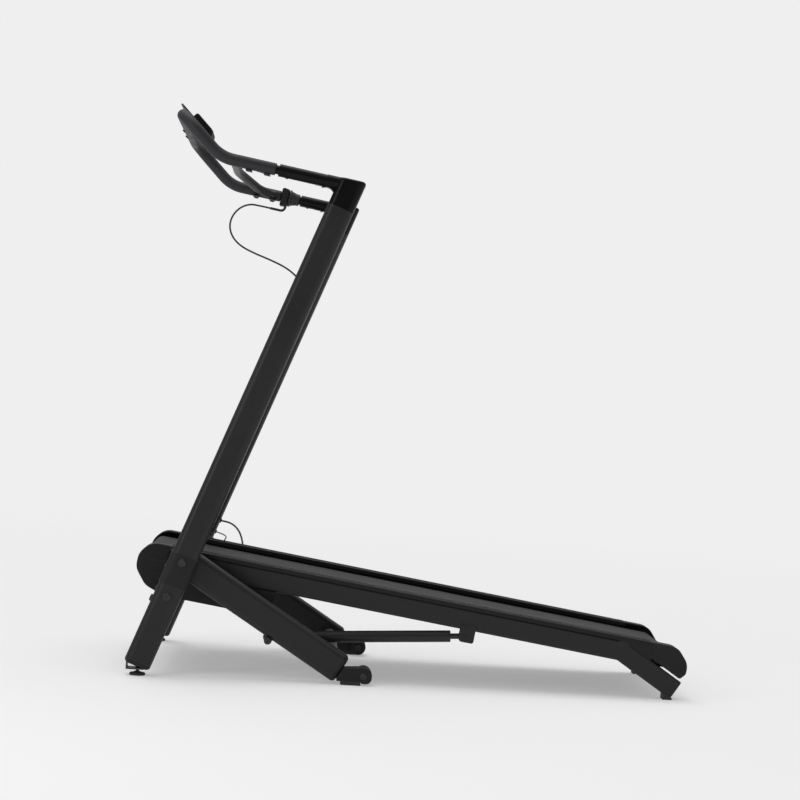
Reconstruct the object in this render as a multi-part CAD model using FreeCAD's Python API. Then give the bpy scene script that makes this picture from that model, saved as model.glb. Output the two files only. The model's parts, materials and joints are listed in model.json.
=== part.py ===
"""Folding treadmill with a belt the walker turns, uprights that lean back and a deck that folds up.

Millimetres, +Z up, +X to the rear of the machine, +Y to the walker's right.
The model is drawn with the deck's hinge axis at X = 0 and the floor at Z = 0, and is
moved at the end so that the middle of its footprint is the origin.
"""
import FreeCAD, Part
import math
import os

V = FreeCAD.Vector
LEFT, RIGHT = -1, 1
SIDES = {"left": LEFT, "right": RIGHT}

# ---- driving dimensions ---------------------------------------------------------------------
HINGE_HEIGHT = 278.4      # deck hinge axis above the floor
LEAN = 20.4               # uprights from the vertical, degrees
INCLINE = 7.86            # deck in use, rear end down, degrees
POST_LENGTH = 940.0       # hinge axis to the top of an upright, along it
POST_DEPTH = 66.0         # flat-oval tube, fore and aft
POST_WIDTH = 48.0
POST_CORNER = 18.0
WALL = 2.0                # wall of every steel tube
SEAM_DROP = 63.0          # hinge axis down to the joint of upright and lower leg
FOOT_DROP = 273.0         # hinge axis down to the end of the lower leg
LOWER_BOLT_DROP = 89.5
FRONT_BOLT_DROP = 108.0
COLLAR_RISE = 18.0        # joint collar above the hinge axis
COLLAR_WALL = 2.0
LEG_ANGLE = 31.2          # rear leg below the horizontal, degrees
LEG_LENGTH = 470.0        # hinge axis to the rear leg's end
LEG_DEPTH = 73.0
LEG_WIDTH = 44.0
LEG_CORNER = 14.0
CROSS_TUBE_D = 38.0
FRONT_TUBE_DROP = 168.0   # front cross tube, down the lower leg from the hinge axis
REAR_TUBE_REACH = 440.0   # rear cross tube, along the rear leg from the hinge axis
DECK_LENGTH = 1281.0      # hinge axis to the rear tip of the deck
NOSE_REACH = 115.0        # hinge axis to the front tip of the deck
RAIL_WIDTH = 25.0
RAIL_HEIGHT = 50.0
RAIL_CORNER = 5.0
RAIL_TOP = 13.5           # heights on the deck are square to it, from the hinge axis
BEND_ANGLE = 24.9
BEND_LENGTH = 170.0
FOOT_RAIL_WIDTH = 45.0
FOOT_RAIL_TOP = 25.0
BELT_WIDTH = 400.0
BELT_THICK = 2.0
BELT_TOP = 9.0
BOARD_THICK = 18.0
ROLLER_D = 40.0
ROLLER_GAP = 0.3          # belt to roller
AXLE_D = 12.0
PIN_CLEARANCE = 0.05      # radial, at every pin that turns
BOLT_CLEARANCE = 0.3      # radial, at every bolt that is only clamped
FLYWHEEL_D = 90.0
FLYWHEEL_X = 70.0
FLYWHEEL_Z = -46.0
BELLY_DEPTH = 100.0       # under cover below the hinge axis, square to the deck
STRUT_D = 29.0
STRUT_BASE_REACH = 280.0  # base pivot along the rear leg from the hinge axis
STRUT_BASE_DROP = 42.5    # base pivot below the rear leg's middle line
STRUT_EYE_X = 719.0       # deck pivot along the deck
STRUT_EYE_Z = -53.0
WHEEL_D = 41.0
WHEEL_WIDTH = 22.0
WHEEL_X = 457.0
PAD_HEIGHT = 9.0
ARM_DROP = 8.8            # arms and hand grips fall to the rear, degrees
SLEEVE_D = 31.0
RIGHT_SLEEVE_SHORTER = 50.0
BAR_D = 22.2              # handlebar tube
COVER_D = 30.0            # its soft cover
RISE_ANGLE = 45.6         # front of the handlebar above the horizontal, degrees
RISE_LENGTH = 143.0
BEND_RADIUS = 62.0
INNER_BAR_D = 24.0
INNER_BAR_Y = 160.0
PANEL_HALF = 150.0
PANEL_THICK = 4.0
DISPLAY_WIDTH = 120.0
CABLE_D = 5.0

BELT_TO_RAIL = 34.75      # belt edge to the middle of a side rail
RAIL_TO_LEG = 61.25       # middle of a side rail to the middle of a rear leg
LEG_TO_POST = 49.0        # middle of a rear leg to the middle of an upright
BAR_INSET = 5.0           # handlebar ends inward of the uprights' middles
ROLLER_INSET = 31.0       # nose of the deck to the front roller's axis
TAIL_INSET = 45.0         # rear tip of the deck to the rear roller's axis
BEND_INSET = 171.0        # rear tip of the deck to the bend of a side rail
ARM_LEAD = 155.06         # left arm's front end ahead of the top of an upright
ARM_RISE = 83.86          # and above it

FOLD_ANGLE = 90.0 - LEAN + INCLINE     # deck parallel with the uprights
RAIL_Y = BELT_WIDTH / 2 + BELT_TO_RAIL     # from the machine's centre plane
STRUT_Y = -RAIL_Y
LEG_Y = RAIL_Y + RAIL_TO_LEG
POST_Y = LEG_Y + LEG_TO_POST
BAR_Y = POST_Y - BAR_INSET
FRONT_ROLLER_X = ROLLER_INSET - NOSE_REACH
REAR_ROLLER_X = DECK_LENGTH - TAIL_INSET
BEND_X = DECK_LENGTH - BEND_INSET          # where a side rail turns down to the floor
ARM_X = POST_LENGTH * math.sin(math.radians(LEAN)) - ARM_LEAD
ARM_Z = HINGE_HEIGHT + POST_LENGTH * math.cos(math.radians(LEAN)) + ARM_RISE


# ---- frames ---------------------------------------------------------------------------------
def frame(x, z, angle):
    """A frame turned about +Y, so that its own X falls to the rear by that angle."""
    return FreeCAD.Placement(V(x, 0, z), FreeCAD.Rotation(V(0, 1, 0), angle))


DECK = frame(0, HINGE_HEIGHT, INCLINE)
POST = frame(0, HINGE_HEIGHT, LEAN)
LEG = frame(0, HINGE_HEIGHT, LEG_ANGLE)
ARM = frame(ARM_X, ARM_Z, ARM_DROP)


def sit(shape, place):
    """The shape moved from a frame's own coordinates into the machine's."""
    moved = shape.copy()
    moved.Placement = place.multiply(moved.Placement)
    return moved


# ---- plain shapes ---------------------------------------------------------------------------
def rounded_wire(points):
    """Closed outline in the XZ plane from (x, z, corner radius)."""
    count = len(points)
    corners = []
    for i, (x, z, r) in enumerate(points):
        here = V(x, 0, z)
        if r <= 0:
            corners.append((here, here, None))
            continue
        before = V(points[i - 1][0], 0, points[i - 1][1]) - here
        after = V(points[(i + 1) % count][0], 0, points[(i + 1) % count][1]) - here
        half = before.getAngle(after) / 2
        before.normalize()
        after.normalize()
        back = r / math.tan(half)
        a = here + before * back
        b = here + after * back
        inward = before + after
        inward.normalize()
        middle = here + inward * (r / math.sin(half) - r)
        corners.append((a, b, Part.Arc(a, middle, b).toShape()))
    chain = []
    for i, (_, end, arc) in enumerate(corners):
        if arc:
            chain.append(arc)
        following = corners[(i + 1) % count][0]
        if end.distanceToPoint(following) > 1e-6:
            chain.append(Part.makeLine(end, following))
    return Part.Wire(chain)


def slab(points, y0, y1):
    """Outline in XZ, drawn from y0 to y1."""
    face = Part.Face(rounded_wire(points))
    face.translate(V(0, min(y0, y1), 0))
    return face.extrude(V(0, abs(y1 - y0), 0))


def oval(a, b, r, z0, z1):
    """Bar along Z, a by b in X and Y, with rounded corners."""
    pts = [(-a / 2, -b / 2, r), (a / 2, -b / 2, r), (a / 2, b / 2, r), (-a / 2, b / 2, r)]
    face = Part.Face(rounded_wire(pts))
    face.rotate(V(0, 0, 0), V(1, 0, 0), -90)
    face.translate(V(0, 0, z0))
    return face.extrude(V(0, 0, z1 - z0))


def beam(width, height, r, x0, x1, y=0.0, z=0.0):
    """Bar along X, width in Y and height in Z, with rounded corners."""
    bar = oval(height, width, r, x0, x1)
    bar.rotate(V(0, 0, 0), V(0, 1, 0), 90)
    bar.translate(V(0, y, z))
    return bar


def block(x0, x1, y0, y1, z0, z1):
    return Part.makeBox(x1 - x0, y1 - y0, z1 - z0, V(x0, y0, z0))


def rod(d, y0, y1, x=0.0, z=0.0):
    """Cylinder along Y."""
    low = min(y0, y1)
    return Part.makeCylinder(d / 2, abs(y1 - y0), V(x, low, z), V(0, 1, 0))


def ring(outer, inner, y0, y1, x=0.0, z=0.0):
    return rod(outer, y0, y1, x, z).cut(rod(inner, y0, y1, x, z))


def axial(d, x0, x1, y=0.0, z=0.0):
    """Cylinder along X."""
    return Part.makeCylinder(d / 2, x1 - x0, V(x0, y, z), V(1, 0, 0))


def domed_head(d, height, y, side, x=0.0, z=0.0):
    """Low round bolt head on the plane y, on the outer side, with a hexagon recess."""
    head = rod(d, y, y + side * height, x, z)
    rim = [e for e in head.Edges if abs(e.CenterOfMass.y - (y + side * height)) < 0.01]
    head = head.makeFillet(min(height * 0.7, d * 0.3), [e for e in rim if e.Closed])
    socket = Part.makePolygon([V(x + 0.22 * d * math.cos(math.radians(60 * k)), 0,
                                 z + 0.22 * d * math.sin(math.radians(60 * k))) for k in range(7)])
    cutter = Part.Face(socket)
    cutter.translate(V(0, y + side * height * 0.45, 0))
    return head.cut(cutter.extrude(V(0, side * height, 0)))


def bend_path(points, radii=None):
    """Straight runs joined by tangent arcs. Without radii each arc is as large as its runs allow."""
    edges = []
    here = points[0]
    used = []
    for i in range(1, len(points) - 1):
        p = points[i]
        before = points[i - 1] - p
        after = points[i + 1] - p
        half = before.getAngle(after) / 2
        turn = math.pi - 2 * half
        if radii is None:
            r = 0.45 * min(before.Length, after.Length) / math.tan(turn / 2)
        else:
            r = radii[i - 1]
        before.normalize()
        after.normalize()
        back = r * math.tan(turn / 2)
        a = p + before * back
        b = p + after * back
        inward = before + after
        inward.normalize()
        middle = p + inward * (r / math.cos(turn / 2) - r)
        edges.append(Part.LineSegment(here, a).toShape())
        edges.append(Part.Arc(a, middle, b).toShape())
        used.append(r)
        here = b
    edges.append(Part.LineSegment(here, points[-1]).toShape())
    return Part.Wire(edges), used


def pipe(points, d, radii=None):
    """Round bar that follows bend_path."""
    path, used = bend_path(points, radii)
    circle = Part.Wire([Part.makeCircle(d / 2, points[0], points[1] - points[0])])
    return path.makePipeShell([circle], True, False), path.Length, used


def solid_part(shape):
    """Largest solid of a cut shape."""
    return max(shape.Solids, key=lambda s: s.Volume)


PARTS = {}


def keep(name, *shapes):
    """Add the solids of these shapes to one node."""
    solids = PARTS[name].Solids if name in PARTS else []
    solids = solids + [s for shape in shapes for s in shape.Solids]
    PARTS[name] = solids[0] if len(solids) == 1 else Part.makeCompound(solids)


# ---- base frame: lower legs, uprights, rear legs --------------------------------------------
POST_INNER_Y = POST_Y - POST_WIDTH / 2
POST_OUTER_Y = POST_Y + POST_WIDTH / 2
LEG_INNER_Y = LEG_Y - LEG_WIDTH / 2
LEG_OUTER_Y = LEG_Y + LEG_WIDTH / 2
RAIL_INNER_Y = RAIL_Y - RAIL_WIDTH / 2
RAIL_OUTER_Y = RAIL_Y + RAIL_WIDTH / 2
RAIL_BOTTOM = RAIL_TOP - RAIL_HEIGHT
RAIL_MID = RAIL_TOP - RAIL_HEIGHT / 2
PIVOT_HOLE_D = AXLE_D + 2 * BOLT_CLEARANCE
BUSH_HOLE_D = AXLE_D + 2 * PIN_CLEARANCE
BUSH_D = 20.0
CAP_HEIGHT = 12.0


def post_tube(z0, z1):
    outer = oval(POST_DEPTH, POST_WIDTH, POST_CORNER, z0, z1)
    inner = oval(POST_DEPTH - 2 * WALL, POST_WIDTH - 2 * WALL, POST_CORNER - WALL, z0 - 1, z1 + 1)
    return outer.cut(inner)


def across(d, z, x=0.0):
    """Drill along Y through a post, in the post's own frame."""
    return rod(d, -POST_WIDTH, POST_WIDTH, x, z)


def make_posts():
    bolt = 10.0 + 2 * BOLT_CLEARANCE
    insert_depth = POST_DEPTH - 2 * WALL - 1.0
    insert_width = POST_WIDTH - 2 * WALL - 1.0
    front_hole = axial(bolt, -POST_DEPTH, 0, 0, -FRONT_BOLT_DROP)
    for way in SIDES.values():
        y = way * POST_Y
        lower = post_tube(-FOOT_DROP + CAP_HEIGHT, -SEAM_DROP)
        lower = lower.cut(across(bolt, -LOWER_BOLT_DROP)).cut(front_hole)
        upper = post_tube(-SEAM_DROP, POST_LENGTH)
        upper = upper.cut(across(PIVOT_HOLE_D, 0))
        if way == RIGHT:
            upper = upper.cut(axial(CABLE_D + 2, -POST_DEPTH, 0, 0, CABLE_IN))
            upper = upper.cut(axial(CABLE_D + 2, 0, POST_DEPTH, 0, CABLE_OUT))
            upper = upper.cut(axial(SENSOR_D + 2, 0, POST_DEPTH, 0, SENSOR_OUT))
        insert = oval(insert_depth, insert_width, POST_CORNER - WALL - 0.5, -160, 32)
        insert = insert.cut(oval(insert_depth - 8, insert_width - 8, 10, -170, 40))
        insert = insert.cut(across(PIVOT_HOLE_D, 0)).cut(across(bolt, -LOWER_BOLT_DROP)).cut(front_hole)
        collar = oval(POST_DEPTH + 2 * COLLAR_WALL, POST_WIDTH + 2 * COLLAR_WALL,
                      POST_CORNER + COLLAR_WALL, -SEAM_DROP + 2, COLLAR_RISE)
        collar = collar.makeFillet(1.5, [e for e in collar.Edges if e.BoundBox.ZLength < 0.1])
        collar = collar.cut(oval(POST_DEPTH + 0.4, POST_WIDTH + 0.4, POST_CORNER, -90, 60))
        collar = collar.cut(across(PIVOT_HOLE_D, 0))
        cap = oval(POST_DEPTH, POST_WIDTH, POST_CORNER, -FOOT_DROP, -FOOT_DROP + CAP_HEIGHT)
        cap = cap.makeFillet(9.0, [e for e in cap.Edges if abs(e.CenterOfMass.z + FOOT_DROP) < 0.1])
        plug = oval(insert_depth, insert_width, POST_CORNER - WALL, -FOOT_DROP + CAP_HEIGHT,
                    -FOOT_DROP + CAP_HEIGHT + 20)
        cap = cap.fuse(plug)
        for node, shape in (("lower_legs", lower), ("uprights", upper), ("joint_inserts", insert),
                            ("joint_collars", collar)):
            keep(node, sit_at(shape, POST, y))
        cap = sit_at(cap, POST, y).cut(rod_z(STEM_D + 2 * BOLT_CLEARANCE, FOOT_X, y, 0, FOOT_TOP + 30))
        keep("leg_caps", cap)


def sit_at(shape, place, y):
    moved = sit(shape, place)
    moved.translate(V(0, y, 0))
    return moved


def rod_z(d, x, y, z0, z1):
    return Part.makeCylinder(d / 2, z1 - z0, V(x, y, z0))


def make_leg_bolts():
    """Through bolt and front bolt of each leg joint, all of one size."""
    bolts = []
    for way in SIDES.values():
        y = way * POST_Y
        inner = way * (POST_INNER_Y - 8)
        outer = way * POST_OUTER_Y
        shank = rod(10, inner, outer, 0, -LOWER_BOLT_DROP)
        head = domed_head(20, 4, outer, way, 0, -LOWER_BOLT_DROP)
        nut = rod(17, inner, way * POST_INNER_Y, 0, -LOWER_BOLT_DROP)
        bolts.append(sit(shank.fuse([head, nut]), POST))
        front = axial(10, -POST_DEPTH / 2, -POST_DEPTH / 2 + 14, 0, -FRONT_BOLT_DROP)
        knob = domed_head(18, 5, 0, LEFT)
        knob.rotate(V(0, 0, 0), V(0, 0, 1), -90)
        knob.translate(V(-POST_DEPTH / 2, 0, -FRONT_BOLT_DROP))
        bolts.append(sit_at(front.fuse(knob), POST, y))
    keep("frame_bolts", *bolts)


def make_rear_legs():
    hole = rod(PIVOT_HOLE_D, -LEG_WIDTH, LEG_WIDTH)
    for way in SIDES.values():
        length = LEG_LENGTH - CAP_HEIGHT
        bar = beam(LEG_WIDTH, LEG_DEPTH, LEG_CORNER, -20, length)
        bar = bar.cut(beam(LEG_WIDTH - 2 * WALL, LEG_DEPTH - 2 * WALL, LEG_CORNER - WALL, -18, length + 1))
        bar = bar.cut(hole)
        keep("rear_legs", sit_at(bar, LEG, way * LEG_Y))
        cap = beam(LEG_WIDTH, LEG_DEPTH, LEG_CORNER, length, LEG_LENGTH)
        cap = cap.makeFillet(10, [e for e in cap.Edges if abs(e.CenterOfMass.x - LEG_LENGTH) < 0.1])
        cap = cap.fuse(beam(LEG_WIDTH - 5, LEG_DEPTH - 5, LEG_CORNER - WALL, length - 20, length))
        keep("leg_caps", sit_at(cap, LEG, way * LEG_Y))


def cross_tube(half):
    return ring(CROSS_TUBE_D, CROSS_TUBE_D - 2 * WALL, -half, half)


def make_cross_tubes():
    front = cross_tube(POST_INNER_Y)
    front.translate(V(0, 0, -FRONT_TUBE_DROP))
    keep("cross_tubes", sit(front, POST))
    rear = cross_tube(LEG_INNER_Y)
    rear.translate(V(REAR_TUBE_REACH, 0, 0))
    keep("cross_tubes", sit(rear, LEG))


def make_pivots():
    """Deck hinge: a shouldered pin a side, clamped in upright and rear leg."""
    for way in SIDES.values():
        outer = way * (POST_OUTER_Y + COLLAR_WALL)
        inner = way * (RAIL_INNER_Y - 2)
        pin = rod(AXLE_D, inner, outer).fuse(domed_head(21, 4, outer, way))
        keep("pivot_pins", sit(pin, POST))
    washers = []
    for way in SIDES.values():
        washers.append(ring(30, PIVOT_HOLE_D, way * LEG_OUTER_Y, way * (POST_INNER_Y - COLLAR_WALL)))
        washers.append(ring(26, PIVOT_HOLE_D, way * (RAIL_OUTER_Y + 1), way * LEG_INNER_Y))
    keep("frame_bolts", *[sit(w, POST) for w in washers])


# ---- feet, pads and transport wheels --------------------------------------------------------
STEM_D = 8.0
FOOT_DISC_D = 38.0
FOOT_X = -92.0
FOOT_TOP = 9.0
BRACKET_Z = 15.0
BRACKET_THICK = 3.0
BRACKET_FRONT = -119.5


def make_front_feet():
    rise = 34.0
    for side, way in SIDES.items():
        y = way * POST_Y
        base = block(BRACKET_FRONT, FOOT_X + 16, y - 20, y + 20, BRACKET_Z, BRACKET_Z + BRACKET_THICK)
        wall = block(BRACKET_FRONT, BRACKET_FRONT + BRACKET_THICK, y - 20, y + 20,
                     BRACKET_Z, BRACKET_Z + rise)
        plate = base.fuse(wall).removeSplitter()
        plate = plate.cut(rod_z(STEM_D + 2 * BOLT_CLEARANCE, FOOT_X, y, 0, 60))
        plate = plate.cut(PARTS["leg_caps"]).cut(PARTS["lower_legs"])
        keep("foot_brackets", solid_part(plate))
        disc = rod_z(FOOT_DISC_D, FOOT_X, y, 0, 6)
        disc = disc.makeFillet(2.5, [e for e in disc.Edges if e.Closed and abs(e.CenterOfMass.z - 6) < 0.1])
        nut = rod_z(16, FOOT_X, y, 6, FOOT_TOP)
        stem = rod_z(STEM_D, FOOT_X, y, 6, FOOT_TOP + 26)
        keep("levelling_foot_" + side, disc.fuse([nut, stem]).removeSplitter())


WHEEL_Z = WHEEL_D / 2 + 2.5
BRACKET_IN_Y = LEG_INNER_Y + 4


def make_wheel_brackets():
    for side, way in SIDES.items():
        y0 = way * BRACKET_IN_Y
        y1 = way * LEG_OUTER_Y
        nose = WHEEL_D / 2
        outline = [(WHEEL_X - 66, PAD_HEIGHT, 2), (WHEEL_X - 66, PAD_HEIGHT + 31, 4),
                   (WHEEL_X - 6, WHEEL_Z + nose, 8), (WHEEL_X + nose, WHEEL_Z + nose, 18),
                   (WHEEL_X + nose, PAD_HEIGHT - 4, 14), (WHEEL_X - 4, PAD_HEIGHT - 4, 6),
                   (WHEEL_X - 8, PAD_HEIGHT, 2)]
        body = slab(outline, y0, y1)
        body = body.cut(rod(8 + 2 * BOLT_CLEARANCE, y0 - 5 * way, y1 + 5 * way, WHEEL_X, WHEEL_Z))
        leg = beam(LEG_WIDTH + 2, LEG_DEPTH, LEG_CORNER, 0, LEG_LENGTH)
        body = body.cut(sit_at(leg, LEG, way * LEG_Y))
        keep("wheel_brackets", solid_part(body))
        pad = [(WHEEL_X - 56, 0, 2), (WHEEL_X - 56, PAD_HEIGHT, 1), (WHEEL_X - 9, PAD_HEIGHT, 1),
               (WHEEL_X - 5, 0, 2)]
        keep("base_pads", slab(pad, y0, y1))
        inner = way * (BRACKET_IN_Y - 1 - WHEEL_WIDTH - 1)
        axle = rod(8, inner, y1, WHEEL_X, WHEEL_Z)
        axle = axle.fuse(domed_head(17, 3, y1, way, WHEEL_X, WHEEL_Z))
        axle = axle.fuse(rod(14, inner, inner - 3 * way, WHEEL_X, WHEEL_Z))
        keep("frame_bolts", axle)
        rim = way * (BRACKET_IN_Y - 1)
        wheel = rod(WHEEL_D, rim - way * WHEEL_WIDTH, rim, WHEEL_X, WHEEL_Z)
        wheel = wheel.makeFillet(3, [e for e in wheel.Edges if e.Closed])
        wheel = wheel.cut(rod(8 + 2 * PIN_CLEARANCE, rim - 60, rim + 60, WHEEL_X, WHEEL_Z))
        keep("transport_wheel_" + side, wheel)


# ---- strut ----------------------------------------------------------------------------------
def strut_points():
    base = LEG.multVec(V(STRUT_BASE_REACH, 0, -STRUT_BASE_DROP))
    eye = DECK.multVec(V(STRUT_EYE_X, 0, STRUT_EYE_Z))
    turn = FreeCAD.Placement(V(0, 0, HINGE_HEIGHT), FreeCAD.Rotation(V(0, 1, 0), INCLINE - FOLD_ANGLE))
    raised = turn.multVec(V(STRUT_EYE_X, 0, STRUT_EYE_Z))
    return base, eye, raised


def strut_motion():
    """Angle and length of the strut with the deck down and with the deck folded up."""
    base, eye, raised = strut_points()
    down = eye - base
    up = raised - base
    swing = math.degrees(math.atan2(up.z, up.x) - math.atan2(down.z, down.x))
    return swing, down.Length, up.Length


EYE_HALF = 7.0            # half the width of the strut's eyes
STRUT_PIN_D = 10.0
STRUT_ROD_D = 14.0
PISTON_LENGTH = 14.0
GLAND = 30.0              # depth of the guide at the mouth of the cylinder


def make_strut():
    """Lifting strut in two tubes, the rod drawn out as the deck is folded."""
    base, eye, _ = strut_points()
    _, length, stretched = strut_motion()
    run = eye - base
    axis = frame(base.x, base.z, -math.degrees(math.atan2(run.z, run.x)))
    mouth = length - 36
    y = STRUT_Y
    lug = rod(26, y - EYE_HALF, y + EYE_HALF).fuse(block(0, 22, y - EYE_HALF, y + EYE_HALF, -9, 9))
    body = axial(STRUT_D, 20, mouth, y).cut(axial(STRUT_D - 6, 36, mouth - 6, y))
    body = body.cut(axial(STRUT_ROD_D + 2 * PIN_CLEARANCE, mouth - GLAND, mouth + 1, y))
    eye_hole = rod(STRUT_PIN_D + 2 * PIN_CLEARANCE, y - 20, y + 20)
    keep("strut_cylinder", sit(body.fuse(lug).cut(eye_hole), axis))
    stroke = stretched - length
    piston_end = mouth - 6 - stroke - 2
    far = rod(24, y - EYE_HALF, y + EYE_HALF, length).cut(rod(STRUT_PIN_D + 2, y - 20, y + 20, length))
    neck = axial(STRUT_ROD_D, piston_end - PISTON_LENGTH, length - 11, y)
    piston = axial(STRUT_D - 7, piston_end - PISTON_LENGTH, piston_end, y)
    keep("strut_rod", sit(far.fuse([neck, piston]).removeSplitter(), axis))
    make_strut_base()
    make_strut_deck_bracket()


def make_strut_base():
    """Boss welded under the left rear leg and the pin that carries the cylinder's lug."""
    x = STRUT_BASE_REACH
    z = -STRUT_BASE_DROP
    outer = -LEG_OUTER_Y + 1
    boss = rod(19, outer, -LEG_INNER_Y, x, z).cut(rod(STRUT_PIN_D + 2 * BOLT_CLEARANCE, -400, -150, x, z))
    leg = beam(LEG_WIDTH + 10, LEG_DEPTH, LEG_CORNER, 0, LEG_LENGTH, -LEG_Y)
    keep("strut_base_bracket", sit(solid_part(boss.cut(leg)), LEG))
    end = STRUT_Y + EYE_HALF
    pin = rod(STRUT_PIN_D, outer, end + 3, x, z)
    pin = pin.fuse(domed_head(17, 5, outer, LEFT, x, z))
    pin = pin.fuse(rod(16, end + 1, end + 5, x, z))
    keep("frame_bolts", sit(pin, LEG))


def make_strut_deck_bracket():
    """Channel under the left side rail, open to the floor, that the rod's eye rests in."""
    x = STRUT_EYE_X
    z = STRUT_EYE_Z
    wall = 3.0
    front = x - 14
    rear = x + 23
    cheek = [(front, RAIL_BOTTOM + 12, 3), (rear, RAIL_BOTTOM + 12, 3), (rear, z - 14, 6),
             (front, z - 14, 6)]
    outside = slab(cheek, -RAIL_OUTER_Y, -RAIL_OUTER_Y - wall)
    under_tube = block(front, rear, -RAIL_INNER_Y - 1, -RAIL_INNER_Y + wall + 1,
                       BOARD_LOW - CROSS_DROP - 0.5, RAIL_TOP)
    inside = slab(cheek, -RAIL_INNER_Y, -RAIL_INNER_Y + wall).cut(under_tube)
    back = block(rear - wall, rear, -RAIL_OUTER_Y - wall, -RAIL_INNER_Y + wall, z - 8, RAIL_BOTTOM)
    bracket = outside.fuse([inside, back]).removeSplitter()
    studs = [domed_head(10, 3, -RAIL_OUTER_Y - wall, LEFT, x - 4, RAIL_BOTTOM + 4),
             domed_head(12, 4, -RAIL_OUTER_Y - wall, LEFT, x, z)]
    keep("strut_deck_bracket", sit(bracket.fuse(studs), DECK))


# ---- deck: side rails, board, belt, rollers -------------------------------------------------
ROLLER_Z = BELT_TOP - BELT_THICK - ROLLER_GAP - ROLLER_D / 2
ROLLER_HALF = BELT_WIDTH / 2 + 3
BELT_LOW = ROLLER_Z - ROLLER_D / 2 - ROLLER_GAP
BOARD_TOP = BELT_TOP - BELT_THICK
BOARD_LOW = BOARD_TOP - BOARD_THICK
CAP_IN_Y = BELT_WIDTH / 2 + 3.5
CAP_OUT_Y = CAP_IN_Y + FOOT_RAIL_WIDTH
CAP_WALL = 3.0
CROSS_X = (230.0, 470.0, STRUT_EYE_X, 980.0)
CROSS_WIDTH = 30.0
CROSS_DROP = 21.0         # underside of a cross member below the board
REAR_CAP_X = DECK_LENGTH - 95
FRONT_CAP_X = -42.0
RAIL_FRONT_X = -40.0


def rail_solid(width, height, corner, x0, end):
    """Straight bar that turns down at BEND_X."""
    straight = beam(width, height, corner, x0, BEND_X, 0, RAIL_MID)
    knee = rod(height, -width / 2, width / 2, BEND_X, RAIL_MID)
    bent = beam(width, height, corner, 0, end)
    if end == BEND_LENGTH:
        bent = bent.makeFillet(3.5, [e for e in bent.Edges if abs(e.CenterOfMass.x - end) < 0.01])
    bent.rotate(V(0, 0, 0), V(0, 1, 0), BEND_ANGLE)
    bent.translate(V(BEND_X, 0, RAIL_MID))
    return straight.fuse([knee, bent])


def make_side_rails():
    outer = rail_solid(RAIL_WIDTH, RAIL_HEIGHT, RAIL_CORNER, RAIL_FRONT_X, BEND_LENGTH)
    inner = rail_solid(RAIL_WIDTH - 2 * WALL, RAIL_HEIGHT - 2 * WALL, RAIL_CORNER - WALL,
                       RAIL_FRONT_X - 1, BEND_LENGTH - 4)
    bush = rod(BUSH_D, -RAIL_WIDTH, RAIL_WIDTH)
    hollow = outer.cut(inner).cut(bush)
    for side, way in SIDES.items():
        rail = hollow
        if way == RIGHT:
            port = rod(CABLE_D + 2, 0, RAIL_WIDTH, CABLE_PORT_X, CABLE_PORT_Z)
            second = rod(SENSOR_D + 2, 0, RAIL_WIDTH, SENSOR_PORT_X, CABLE_PORT_Z)
            rail = rail.cut(port).cut(second)
        keep("side_rail_" + side, sit_at(rail, DECK, way * RAIL_Y))
    bushes = [ring(BUSH_D, BUSH_HOLE_D, way * RAIL_INNER_Y, way * RAIL_OUTER_Y) for way in SIDES.values()]
    keep("pivot_bushes", *[sit(b, DECK) for b in bushes])


def make_foot_rails():
    """Anti-slip step rail over each side rail, its outer edge turned down."""
    for way in SIDES.values():
        top = block(FRONT_CAP_X, REAR_CAP_X, CAP_IN_Y, CAP_OUT_Y, RAIL_TOP, FOOT_RAIL_TOP)
        soft = [e for e in top.Edges if e.BoundBox.XLength > 100 and e.CenterOfMass.z > RAIL_TOP + 1]
        top = top.makeFillet(3.5, soft)
        top = top.cut(block(FRONT_CAP_X - 1, REAR_CAP_X + 1, CAP_IN_Y + 3, CAP_OUT_Y - 3,
                            RAIL_TOP - 1, FOOT_RAIL_TOP - 4))
        if way == LEFT:
            top = top.mirror(V(0, 0, 0), V(0, 1, 0))
        keep("foot_rails", sit(top, DECK))


def make_deck_board():
    board = block(FRONT_ROLLER_X + 34, REAR_ROLLER_X - 34, -BELT_WIDTH / 2 - 2, BELT_WIDTH / 2 + 2,
                  BOARD_LOW, BOARD_TOP)
    long_ends = [e for e in board.Edges if e.BoundBox.YLength > 100 and e.CenterOfMass.z > 0]
    keep("deck_board", sit(board.makeFillet(4, long_ends), DECK))
    tubes = []
    for x in CROSS_X:
        y = RAIL_INNER_Y
        tube = block(x - CROSS_WIDTH / 2, x + CROSS_WIDTH / 2, -y, y, BOARD_LOW - CROSS_DROP, BOARD_LOW - 2)
        tube = tube.cut(block(x - CROSS_WIDTH / 2 + WALL, x + CROSS_WIDTH / 2 - WALL, -y - 1, y + 1,
                              BOARD_LOW - CROSS_DROP + WALL, BOARD_LOW - 2 - WALL))
        tubes.append(tube)
    keep("deck_cross_members", *[sit(t, DECK) for t in tubes])
    pads = []
    for x in CROSS_X:
        for y in (-160, -55, 55, 160):
            pads.append(block(x - 12, x + 12, y - 20, y + 20, BOARD_LOW - 2, BOARD_LOW))
    keep("deck_cushion_pads", *[sit(p, DECK) for p in pads])


def stadium(gap, half):
    """Loop shape round both rollers, standing off them by gap, and half wide each way in Y."""
    r = ROLLER_D / 2 + gap
    middle = block(FRONT_ROLLER_X, REAR_ROLLER_X, -half, half, ROLLER_Z - r, ROLLER_Z + r)
    return middle.fuse([rod(2 * r, -half, half, FRONT_ROLLER_X, ROLLER_Z),
                        rod(2 * r, -half, half, REAR_ROLLER_X, ROLLER_Z)]).removeSplitter()


def make_belt():
    half = BELT_WIDTH / 2
    loop = stadium(ROLLER_GAP + BELT_THICK, half).cut(stadium(ROLLER_GAP, half + 1))
    keep("running_belt", sit(loop, DECK))


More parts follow.
